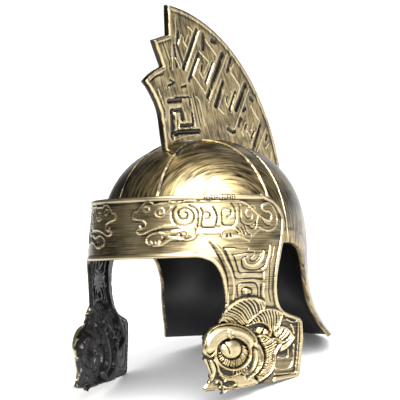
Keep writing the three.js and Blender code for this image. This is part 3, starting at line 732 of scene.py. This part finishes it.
top_away = BAND_TOP - z
relief = round_lip(relief, top_away, 2.3, 1.2, 0.2)
low_away = np.where(side_view[:, 0] < -100, z, nearest(side_view, FACE_EDGE)[0])
relief = round_lip(relief, np.minimum(low_away, nearest(side_view, REAR_EDGE)[0]), 2.2, 1.2, 0.2)

NECK_GROOVES = [
    [(-87, 14), (-84.2, 8.5), (-81, -0.2), (-77, -9.9), (-74.6, -21.5), (-74.4, -32.9), (-76.2, -45.3)],
    [(-75.8, 8.4), (-73.2, -0.5), (-69.3, -11.1), (-66.5, -21), (-56.8, -21.5), (-45.7, -21.6),
      (-36, -22.7)],
    [(-68, 1.5), (-65.8, -6.4), (-62.5, -15.6), (-55.8, -15.8), (-48.1, -15.8), (-36.2, -15.9)],
    [(-75.8, 8.5), (-67.5, 8.5), (-60.9, 7.1), (-52.4, 7.2)],
    [(-68.4, 1.8), (-61.5, 2.6), (-54, 3.7), (-46.2, 3.7)],
    [(-54.6, 0), (-59.2, -1.8), (-60.4, -5.6), (-58.9, -10.5), (-53.7, -13), (-45.8, -13.7), (-38.7, -12),
      (-33.6, -9.2)],
    [(-38.6, 3), (-41.2, -1.3), (-45.7, -4.6), (-50, -4.8), (-51, -2), (-47.3, 0.8)],
    [(-19.1, 10), (-23.3, 0.3), (-26.7, -7.4), (-27.9, -22.9), (-28, -34.6), (-25.3, -44.3)],
    [(-38.2, -27.5), (-38.5, -34.2), (-37.7, -40)],
    [(-64, -38.1), (-65, -30.4), (-63, -26.5), (-55.6, -25.7), (-47.8, -25.8), (-44, -27.5), (-41.5, -34.1),
      (-42.2, -40.8)],
    [(-59.3, -37.3), (-59.9, -32.5), (-56.5, -29.9), (-51.5, -30.9), (-48.6, -33.4), (-49.5, -36.7),
      (-52.9, -37.1)],
]
NECK_RIDGES = [
    [(-82.9, 12.3), (-78.4, 4.5), (-75.1, -4.2), (-71.2, -13), (-69, -21.7), (-68.5, -33.1), (-69, -40.8)],
    [(-24.5, 9.1), (-27.5, 0.4), (-30.2, -4.4), (-33, -10.2), (-36.2, -13)],
    [(-34.2, 3.4), (-36.5, -2.4), (-41, -7.1), (-47.5, -9.4), (-54.7, -7.7), (-57.2, -3.8)],
    [(-34.3, -16.9), (-35.4, -22.7)],
    [(-34.5, -27.6), (-35.4, -34.3), (-33.8, -40.2)],
    [(-55.2, -35.5), (-55.5, -33.1), (-53.1, -32.7)],
]
for path in NECK_RIDGES:
    carve(relief, side_view, through(path, 4), 2.6, 0.9)
for path in NECK_GROOVES:
    incise(relief, side_view, through(path, 4), 2.0, 0.8)

FANS = [
    # rim, where the feathers start, where they end, number of feathers, how far they bow, height of the fan
    ([(-86.4, -62.7), (-85.2, -59.3), (-81.4, -54.7), (-76.5, -50.6), (-69.7, -45.6), (-62, -42),
      (-52, -40.5), (-43.5, -41.4), (-35.6, -44.8)], None, [(-77, -64), (-71.3, -64), (-58.7, -65.7),
      (-54.5, -63.2), (-49.4, -59.1), (-43.1, -55), (-35.8, -52), (-35.4, -48.3)], 17, 2.6, 2.2),
    ([(-53.9, -64.3), (-48.7, -59.6), (-41.4, -55.1), (-33.3, -52.2), (-24.8, -52.2), (-17.2, -54.5),
      (-12, -57.5)], None, [(-47, -63.8), (-42.8, -62.5), (-35.1, -64.1), (-29.5, -67.5), (-25.6, -71.6),
      (-21.7, -71.4), (-16.9, -69.4), (-13.8, -62.4)], 12, 1.8, 1.9),
    ([(-23.3, -73), (-18.3, -70.4), (-11, -70.2), (-4.4, -73.5), (0.4, -79.5), (2.2, -81), (-2, -85.6)],
      None, [(-22.2, -76.6), (-20.5, -78), (-18.9, -79.4), (-14.1, -81.9), (-12.6, -86.8), (-13.9, -91.2),
      (-9.5, -90.1)], 10, 1.0, 1.7),
    ([(-41.8, -78.3), (-37.7, -76.8), (-32.8, -78.1), (-26.3, -81.5), (-23.6, -80.8), (-18.1, -81.8),
      (-14.9, -85), (-17, -89.5), (-22, -95), (-23.2, -102.3), (-25.2, -109), (-28.1, -112.9),
      (-35.5, -117.7), (-42.6, -120.7)], [(-35.6, -79.7), (-28.6, -82), (-20.4, -84), (-22.9, -89.8),
      (-25.6, -95), (-26.9, -100.2), (-27.3, -105), (-28.9, -109.3), (-32.1, -113.5), (-40.5, -118.7)],
      [(-39.2, -81), (-36.4, -84.7), (-34.1, -89.2), (-32.8, -93.7), (-32.7, -98.1), (-33.2, -102.5),
      (-34.8, -106.3), (-38, -110.5), (-41.9, -113.8), (-45.2, -116.2)], 19, 0.4, 2.6),
]
for rim, starts, ends, count, bow, top in FANS:
    starts, ends = through(starts or rim, 6), through(ends, 6)
    lift(relief, side_view, np.vstack([through(rim, 4), ends[::-1]]), top, 1.6)
    for start, end in pairs(starts, ends, count):
        along = end - start
        middle = (start + end) / 2 + bow * np.array([-along[1], along[0]]) / np.hypot(*along)
        carve(relief, side_view, through([start, middle, end], 4), 1.8, top + 1.3)

HEAD_FORMS = [
    # outline, height, width of the slope
    ([(-106, -96), (-107.3, -88), (-107.3, -82.2), (-104.3, -75.6), (-98.5, -69.8), (-90.5, -65.9),
      (-81.4, -64.5), (-71.2, -64.9), (-61.8, -67.3), (-53.2, -72), (-47.9, -77.5), (-43.3, -83.5),
      (-40, -91), (-38.3, -97.3), (-39.3, -103.6), (-43.2, -109.8), (-48.2, -113.8), (-46, -122.6),
      (-55.7, -124.8), (-72.9, -126.2), (-81.4, -127), (-86.4, -129.9), (-88.4, -122), (-93, -125.3),
      (-110, -125.4), (-104.6, -120), (-101.5, -114), (-101.5, -108.3), (-104, -102)], 4.0, 2.6),
    ([(-106.6, -86.6), (-106.4, -81.4), (-103.2, -75.6), (-97.6, -70.8), (-89.6, -67.3), (-80.4, -66),
      (-71.1, -66.4), (-62.8, -68.8), (-55.3, -73.2), (-50.6, -78.7), (-49, -84.5), (-50.9, -87.4),
      (-53.9, -88.6), (-57.7, -83.1), (-63, -79.8), (-69.3, -77.3), (-75.6, -76.6), (-82, -77.4),
      (-88.4, -79.8), (-92.7, -83.9), (-94.5, -88.1), (-98, -90.4), (-102.4, -91.1), (-105.4, -89.6)], 8.6,
      5.2),
    ([(-48.5, -88.9), (-46.2, -89.9), (-44, -94.4), (-44.6, -100.4), (-47.4, -106.4), (-51.3, -110.5),
      (-54.6, -112.5), (-52.2, -107), (-50.4, -101), (-49.4, -94.1)], 7.0, 2.2),
    ([(-101.4, -97.5), (-98.3, -97.3), (-95.5, -101.3), (-93.8, -106.1), (-94.8, -111.2), (-97.1, -115.3),
      (-99.8, -117.7), (-100.6, -113.4), (-99.7, -108.3), (-100.8, -103.1)], 6.8, 2.8),
    ([(-90.5, -112.8), (-84.5, -115.2), (-78.1, -115.6), (-71.7, -114), (-67, -112.6), (-62.2, -114.2),
      (-60.2, -118.2), (-53.2, -117.8), (-45.9, -122), (-53.5, -123.4), (-62.1, -124.4), (-69.6, -124.8),
      (-70.5, -119.6), (-76, -117.2), (-84, -118)], 6.0, 1.6),
    ([(-49.5, -84), (-46.9, -82.8), (-43.8, -84.8), (-43.1, -87.6), (-46.1, -89), (-49.6, -87.2)], 7.6,
      1.8),
]
for outline, top, slope in HEAD_FORMS:
    lift(relief, side_view, through([*outline, outline[0]], 4)[:-1] if slope > 2.6 else outline, top, slope)

# The eye: a pit inside the ring, a ball with a slit pupil, and two rows of folds round its lower half.
PIT_FLOOR, BALL_HIGH = 2.4, 5.2
pit_away = np.hypot(*((side_view - (-74, -92.4)) / (19.6, 15)).T)
relief = np.where(pit_away < 1, np.minimum(relief, PIT_FLOOR), relief)
ball_away = np.hypot(*((side_view - (-75.1, -88.3)) / (12.4, 9.4)).T)
ball = PIT_FLOOR + BALL_HIGH * np.sqrt(np.clip(1 - ball_away**2, 0, 1))
relief = np.where(ball_away < 1, np.maximum(relief, ball), relief)
FOLDS = [
    # outer ends, inner ends, number
    ([(-90.5, -90.9), (-88.6, -97), (-83.5, -101.6), (-76.8, -104.2), (-69.3, -104.4), (-62.8, -102),
      (-58.4, -97.9), (-56.6, -92.8), (-58.2, -86.6)], [(-87.8, -91), (-85.4, -95), (-81.3, -97.9),
      (-75.5, -99.3), (-69.1, -99), (-64.8, -96.7), (-62, -92.9), (-61.3, -89), (-62.2, -85.1)], 19),
    ([(-75.5, -111.2), (-68.7, -112.5), (-62.2, -110.7), (-56.7, -106.7), (-53.5, -101.7), (-52, -98.3)],
      [(-74.8, -107.3), (-68.5, -107.9), (-63.1, -106.1), (-59.2, -103.2), (-56.4, -99.8), (-55, -96.8)],
      10),
]
for outer, inner, count in FOLDS:
    for ends in pairs(through(outer, 8), through(inner, 8), count):
        carve(relief, side_view, ends, 1.8, 5.4)
incise(relief, side_view, [(-83, -82.2), (-80.2, -87.1), (-78.1, -92.9)], 1.8, 2.2)

HEAD_LINES = [
    # path, width, height
    ([(-95.7, -90.6), (-99.4, -93.8), (-103.5, -92.3), (-106.7, -88.3), (-107.1, -82.2), (-104, -75.6),
      (-98.4, -69.9), (-90.5, -66), (-81.4, -64.6), (-71.2, -65), (-61.8, -67.4), (-53.2, -72),
      (-47.9, -77.5), (-45.4, -82.9)], 2.2, 6.6),
    ([(-94.5, -90.6), (-93.5, -84.7), (-89.4, -80.2), (-83.5, -77.5), (-76.1, -76.3), (-68.7, -77.5),
      (-61.9, -80.5), (-56.7, -84.9), (-53.7, -90.3), (-53.9, -96.4), (-57.4, -102.3), (-63.4, -106.3),
      (-71, -108), (-78.4, -107.5), (-85.6, -104.9), (-91.2, -100.3), (-94.2, -95.4), (-94.5, -90.6)], 2.5,
      7.4),
    ([(-77.1, -77.8), (-79.9, -75.5), (-80.6, -72.5), (-78.9, -69.9), (-75.8, -69.5), (-74.1, -71.5),
      (-75.4, -73.4)], 2.0, 9.6),
    ([(-73.5, -77), (-76.6, -76), (-78.6, -74)], 2.4, 8.6),
    ([(-43.3, -85.7), (-40.3, -91.1), (-38.6, -97.3), (-39.5, -103.4), (-43.2, -109.3), (-48.2, -113.3),
      (-57, -117.5)], 2.2, 6.2),
    ([(-105.7, -96), (-103.4, -102.1), (-101, -108.3), (-101.2, -114.2), (-104.3, -120.2), (-109.6, -125)],
      2.2, 6.0),
    ([(-95.4, -97.9), (-92.1, -102.8), (-90.6, -108.1), (-86.5, -112.2), (-80.8, -113.8)], 2.2, 6.4),
    ([(-90.1, -111.9), (-84.5, -114.3), (-78.1, -114.4), (-71.7, -113.1), (-65.8, -111.5), (-62.1, -112.9),
      (-61, -116.4), (-59.1, -118.3), (-53.2, -117.8), (-46.5, -121.5)], 1.9, 7.0),
    ([(-94.6, -119.4), (-92.3, -117.4), (-89.4, -118), (-88.4, -120.6), (-89.6, -123.1), (-93.8, -125),
      (-101.1, -125.3), (-109.4, -125.1)], 1.9, 6.2),
    ([(-86.6, -129.4), (-86.9, -126.3), (-85.4, -123.2), (-81.8, -124.3), (-76.5, -124), (-72.2, -122.6),
      (-71.5, -120.1), (-74.1, -117.7), (-79.4, -116.9), (-84.7, -118.3)], 1.9, 6.2),
    ([(-85.9, -129.4), (-81.4, -126.7), (-72.9, -126), (-64.3, -125.3), (-55.7, -124.6), (-45.9, -122.6)],
      2.0, 5.6),
    (FANS[0][0], 2.3, 4.2),
    ([(-35.4, -44.8), (-35.4, -48.3), (-35.8, -52)], 2.0, 4.0),
    (FANS[1][0], 2.3, 4.0),
    ([(-12, -57.6), (-13.8, -62.4), (-15.2, -66.8), (-16.9, -69.4)], 2.0, 3.6),
    ([(-55.3, -66.7), (-48.9, -65.1), (-41.4, -64), (-33.7, -65.8), (-28.3, -69.7), (-26.5, -74.2),
      (-28.2, -78.1)], 2.3, 4.4),
    ([*FANS[2][0], (-8.2, -90.8), (-14.6, -92.9)], 2.2, 3.6),
    (FANS[3][0], 2.4, 4.6),
    ([(8.8, -64.3), (9.2, -72.4), (8, -84.8), (6.3, -99), (4.2, -110.5), (2.8, -115.6), (-9.5, -115.6),
      (-21.7, -115.8)], 1.8, 1.3),
    ([(2.9, -88.1), (1.9, -97), (1, -104.9), (-2.5, -110.1), (-9.3, -111.4), (-20.3, -110.3)], 1.8, 1.3),
    ([(-5, -62.8), (-0.5, -65.2), (5.2, -65.9), (8.9, -64.3)], 1.8, 1.3),
    ([(-4.6, -92.2), (-4.8, -98.4), (-7.2, -100.7), (-16.6, -99.6)], 1.8, 1.3),
    ([(0.5, -68.8), (2.6, -72.1), (3.4, -77.4)], 1.8, 1.3),
]
lift(relief, side_view, [(-41.5, -68.2), (-34.1, -69), (-39.3, -76), (-45, -73.3)], 3.4, 1.2)
lift(relief, side_view, [(-32.6, -70), (-27.7, -73.3), (-28.8, -77), (-36.8, -76.6)], 2.6, 1.4)
for path, width, top in HEAD_LINES:
    carve(relief, side_view, through(path, 4), width, top)


def rubbing(relief, column, row, reach):
    """How far each spot is sunk below its surroundings, where no pad rubs it, and how far it stands out."""
    count = (column.max() + 1, row.max() + 1)
    field = np.zeros(count)
    field[column, row] = relief
    around = field
    for axis in (0, 1):
        for _ in range(2):
            beyond = [(reach, reach) if a == axis else (0, 0) for a in (0, 1)]
            padded = np.pad(around, beyond, mode="edge")
            summed = np.cumsum(padded, axis=axis)
            start = np.take(summed, range(0, count[axis]), axis=axis)
            end = np.take(summed, range(2 * reach, 2 * reach + count[axis]), axis=axis)
            around = (end - start) / (2 * reach)
    stands = (field - around)[column, row]
    return np.clip((-stands - 0.1) / 0.55, 0, 1), np.clip(stands / 0.6, 0, 1)


recess, edge = rubbing(relief, column, row, 4)
# The sheet round the head is dark and the head's own forms are bright.
recess = np.where((relief < 0.9) & (z < -52), np.maximum(recess, 0.42), recess)
edge = np.where((relief > 3.3) & (z < -60), np.maximum(edge, 0.35), edge)
# The band is covered more evenly, but thinly behind the beasts' tails and, as painted shade, on its left; its
# lip is scuffed.
on_band = z > 0
recess = np.where(on_band, 0.7 * recess, recess)
edge = np.where(on_band & (z < 55), 0.7 * edge, edge)
scuffed = (top_away < 5.6) & (np.abs(around - 99) < 17)
scuffed &= np.sin(around * 2.3) + np.sin(z * 3.1 + around) > -0.4
recess = np.where(scuffed, 0.9, recess)
edge = np.where(scuffed, 0, edge)
behind_tail = (relief < 0.3) & (z > 16) & (z < 55)
thin_gold_and_shade = 0.3 * behind_tail * np.clip((np.abs(around) - 146) / 12, 0, 1)
# Painted shade: the gold thins out on the band's left half.
thin_gold_and_shade = np.maximum(thin_gold_and_shade, 0.2 * on_band * np.clip((34 - around) / 40, 0, 1))
recess = np.maximum(recess, thin_gold_and_shade)
note(guard, "recess", recess)
note(guard, "edge", edge)
form(guard, guard_place(turn, z, relief))
remove_faces(guard, gone)
give_wall(guard, GUARD_WALL)
edit("DESELECT")
guard.active_material_index = 1
bpy.ops.object.material_slot_select()
bpy.ops.mesh.decimate(ratio=0.26)
close()
guard_gold = gold_paint("guard_gold", (0, 90), (30, 30, 900), 0.9, 2.6, (0.25, 0.19, 0.09), (0.56, 0.47, 0.28))
guard.data.materials[0] = guard_gold
guard.data.materials[1] = inside_black

# The ledge that closes the gap between the band's upper edge and the bowl, black below.
LEDGE_SECTION = [(0, 57.4), (0, 59.2), (0.35, 59.3), (0.7, 59.3), (1, 59.1), (1, 57.6), (0.5, 57.4)]


def across_ledge(spots, z):
    """Points between the guard and the bowl. In front, the ledge ends at the straps."""
    turn = spots[:, 0] / 100
    outer = guard_place(turn, z, 0 * z)
    out = np.where(np.abs(outer[:, 0]) < 29, 2.3, 0.4)
    scale = dome_curve((z - BOWL_SPRING) / (BOWL_TOP + out - BOWL_SPRING))
    x, y = (BOWL_WIDE + out) * scale * np.sin(turn), BOWL_CENTRE - (BOWL_LONG + out) * scale * np.cos(turn)
    return outer + (np.stack([x, y, z], -1) - outer) * spots[:, 1:]


round_front = np.stack([np.linspace(-132, 132, 121), np.zeros(121)], -1)
ledge = tube_along("ledge", round_front, LEDGE_SECTION, across_ledge)
ledge.data.materials.append(guard_gold)
ledge.data.materials.append(inside_black)
faces_down = triples(ledge.data.polygons, "normal")[:, 2] < -0.5
ledge.data.polygons.foreach_set("material_index", faces_down.astype(int))
join(guard, [ledge])
set_down(guard)
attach(guard, "root")
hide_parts("face_guard")

# Crest: an upright fin of the same plastic, fixed along the bowl's middle, with a stepped front edge, a round
# back and a key pattern of bars and grooves on both sides.

# Half its thickness, how far it stands off the bowl, and the arc of its back.
CREST_HALF, CREST_FOOT = 3.0, 1.4
ARC_CENTRE, ARC_RADIUS = (-58.8, 45.4), 209.1
CREST_FRONT = np.vstack(
    [
        through([(-57, 108), (-59.4, 120), (-63.4, 143), (-69, 155), (-79, 167.5), (-87.9, 175)]),
        through([(-87.9, 175), (-80, 181), (-70.1, 186.6), (-57.8, 191.8)])[1:],
        [(-71.5, 217.2), (-46.7, 224.3), (-46.9, 254.8)],
    ]
)
swing = np.radians(np.linspace(85.5, 14.6, 60))
crest_arc = ARC_CENTRE + ARC_RADIUS * np.stack([np.cos(swing), np.sin(swing)], -1)
f = np.linspace(0, 1, 12)[1:, None]
shares = (1 - f) ** 3, 3 * (1 - f) ** 2 * f, 3 * (1 - f) * f**2, f**3
tail = sum(share * point for share, point in zip(shares, (crest_arc[-1], (147, 78), (146, 62), (134, 46))))
CREST_BACK = np.vstack([crest_arc, tail])
behind = bowl_place(pi, np.linspace(0, 1, 50), CREST_FOOT)
before = bowl_place(0, np.linspace(1, 0, 50), CREST_FOOT)[1:]
profile = np.vstack([behind, before])[:, 1:]
y, z = profile.T
under = profile[((y > 0) & (z > 46)) | ((y <= 0) & (y > -57))]
crest_outline = np.vstack([CREST_FRONT, CREST_BACK, [(122.2, 46)], under])
columns = np.linspace(-90, 151, 300)
rows = np.linspace(44, 257, 266)
fin, column, row = flat_blank("fin", columns, rows)
spots = np.stack([columns[column], rows[row]], -1)
gone, beside, cut = trim_plan(fin, spots, crest_outline)
spots[beside] = cut
CREST_GROOVES = [
    # path, width, depth
    ([(0.5, 233), (-23, 193)], 6.8, 1.2),
    ([(2.3, 209.2), (-14, 181.5)], 6.2, 1.2),
    ([(26.6, 200.7), (13.7, 180.6)], 4.6, 1.2),
    ([(43.5, 211.5), (16.5, 166.5)], 7.2, 1.2),
    ([(43.9, 182.6), (29.5, 157.6)], 6.4, 1.2),
    ([(65.2, 173.4), (54.5, 154.8)], 4.6, 1.2),
    ([(83.5, 182), (66, 156)], 7.6, 1.2),
    ([(58.7, 208.4), (52.2, 195.1)], 5.6, 0.8),
    ([(10.7, 229.8), (10, 215)], 6.5, 0.5),
    ([(7.8, 196.8), (7.6, 192.7)], 4.4, 1.0),
    ([(50.8, 168), (49.9, 163.1)], 3.0, 1.0),
    ([(26, 224.8), (32.2, 223.5)], 6.0, 0.7),
    ([(92.4, 169), (96.3, 166.9)], 5.6, 0.8),
    ([(82.6, 157.8), (79.2, 155.3)], 5.6, 0.8),
    ([(73.8, 146), (69.9, 138.2)], 5.0, 1.1),
    ([(49.7, 134.3), (58.5, 131.3), (63.1, 132.3)], 4.4, 1.1),
    ([(81.3, 139.5), (80.6, 136.4)], 2.6, 1.0),
    ([(97.9, 133.4), (92.9, 127.1)], 3.4, 1.0),
    ([(108.3, 140), (95.6, 115.8)], 6.4, 1.1),
    ([(121.9, 130.6), (119.6, 125.9)], 4.0, 0.9),
    ([(-50.3, 157.2), (-29, 159.4)], 5.6, 1.4),
    ([(-39.4, 161.6), (-16, 163.5), (-14.7, 155.4)], 1.9, 1.1),
    ([(-11, 147.4), (-9.5, 135.6), (-31, 133.4)], 4.4, 1.4),
    ([(-8.4, 167.5), (-5.7, 160.3), (2.8, 135.9)], 2.2, 1.2),
    ([(-46.5, 147.4), (-30, 150.2)], 5, 1.4),
    ([(-44.6, 146.8), (-44.8, 122.6)], 8.4, 1.5),
    ([(-44.6, 123.5), (-34, 126.8), (0, 129.3)], 6, 1.5),
    ([(-28.9, 147.5), (-27.6, 140.5)], 6.6, 1.4),
    ([(-35.8, 138), (-35.4, 129.5)], 3.6, 1.3),
    ([(-79.2, 176.1), (-69.4, 181.2), (-57.9, 184)], 1.9, 1.0),
    ([(-46.8, 179.3), (-39, 176.8), (-50, 173), (-50.5, 170)], 2.3, 1.1),
    ([(-28.1, 172.9), (-19.6, 175)], 2.8, 1.2),
    ([(-62.5, 156.8), (-56.5, 147.1), (-57, 136.1)], 2.8, 1.2),
    ([(-56.4, 216.2), (-46.7, 197.9), (-45.8, 190.9)], 2.2, 1.0),
    ([(-38.4, 214.7), (-34.5, 193.7)], 4.2, 0.9),
    ([(-31, 229.5), (-33.4, 215.1), (-22.7, 195.6)], 4.4, 0.8),
]
CREST_RIDGES = [
    [(6.4, 234.4), (-19.7, 190)],
    [(52.6, 213.2), (17.6, 159.8)],
    [(90.3, 178.8), (61.9, 134.8)],
    [(119.6, 137.8), (101.3, 111)],
    [(-14.8, 236), (-6.5, 231.6), (-17.8, 209.7)],
    [(15.2, 225.4), (17.2, 222.6), (32.8, 210.9), (33.9, 208.7), (16.1, 178.9)],
    [(64, 203.1), (58.1, 197.8), (58.6, 194.1), (72.8, 181.5), (73.3, 178.5), (56.9, 151.7)],
    [(92.8, 161.4), (97.7, 154.8), (107.9, 145.7), (103.3, 135.2), (92.6, 121.7)],
    [(3.2, 203.6), (-7.4, 186.1), (11.9, 169.4)],
    [(44.8, 174.8), (34.2, 155.2), (43.4, 149.7)],
    [(82.5, 143), (76.9, 135.5), (74.8, 132.4), (77.2, 128.3)],
    [(4.3, 211.6), (18.6, 203.1), (19.2, 201.7), (11.8, 190.8)],
    [(58.2, 174.5), (58.7, 172.3), (53, 161.8)],
    [(95.7, 142.8), (94.9, 140.1), (92, 134.7)],
    [(2.1, 194.1), (3.7, 189.8), (9, 184.7)],
    [(46.2, 167), (47.3, 162.2), (51.4, 156.8)],
    [(85.7, 139.7), (83.4, 134.3), (89.6, 128.5)],
    [(-26.2, 226.3), (-30.9, 216.3)],
    [(-15.3, 226.8), (-19.9, 219.2)],
    [(-23, 224.1), (-22.4, 219.5), (-15.9, 213.5)],
    [(-12.7, 161.7), (-6.4, 134.4)],
    [(-3.7, 164.8), (1.6, 160.7), (9.6, 136.2)],
    [(-39.4, 146), (-37.7, 129)],
    [(-23.5, 147.8), (-20.6, 138.3)],
    [(-33.7, 143.3), (-32.3, 138.8), (-27.4, 137)],
    [(-32.7, 130.7), (-9.1, 132.3)],
    [(-41.6, 118.7), (-23, 123.5), (-0.9, 126)],
    [(-42.5, 214.3), (-42.1, 190.1)],
    [(-36.6, 201.7), (-29.6, 192.1)],
    [(-35.7, 243), (-35.5, 224)],
    [(-66.8, 168.5), (-62.3, 160.8)],
    [(129.1, 113.1), (127.2, 103.8)],
    [(124.1, 121.4), (118.7, 116.6)],
]
relief = np.zeros(len(spots))
for path, width, depth in CREST_GROOVES:
    incise(relief, spots, path, width, depth)
sunk = np.clip(-1.9 * relief, 0, 0.52)
for path in CREST_RIDGES:
    carve(relief, spots, path, 1.9, 0.55)
on_ridge = relief > 0.12
front_away = nearest(spots, CREST_FRONT)[0]
relief = round_lip(relief, front_away, 2.3, 0.9, 0.1)
relief = round_lip(relief, nearest(spots, CREST_BACK)[0], 2.3, 0.7, 0.1)
recess, edge = rubbing(relief, column, row, 3)
note(fin, "recess", np.where(on_ridge, 0, np.maximum(1.4 * recess, sunk)))
note(fin, "edge", np.where(on_ridge, 1, edge))
bevel = 1.5 * np.clip(1 - front_away / 3.4, 0, 1) ** 2
form(fin, np.stack([CREST_HALF + relief - bevel, spots[:, 0], spots[:, 1]], -1))
remove_faces(fin, gone)
# The other face mirrors this one, and the rim between them has the fin's thickness.
edit()
bpy.ops.mesh.extrude_region_move(TRANSFORM_OT_translate={"value": (0, 0, 0)})
close()
chosen = np.zeros(len(fin.data.vertices), bool)
fin.data.vertices.foreach_get("select", chosen)
spots = triples(fin.data.vertices, "co") * 1000
spots[chosen, 0] *= -1
form(fin, spots)
weld(fin, 0.00001)
crest_gold = gold_paint(
    "crest_gold", (180, 20), (60, 60, 420), 0.74, 3.0, (0.2, 0.132, 0.034), (0.6, 0.51, 0.3)
)
fin.data.materials.append(crest_gold)
set_down(fin)
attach(fin, "root")
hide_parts("crest_fin")
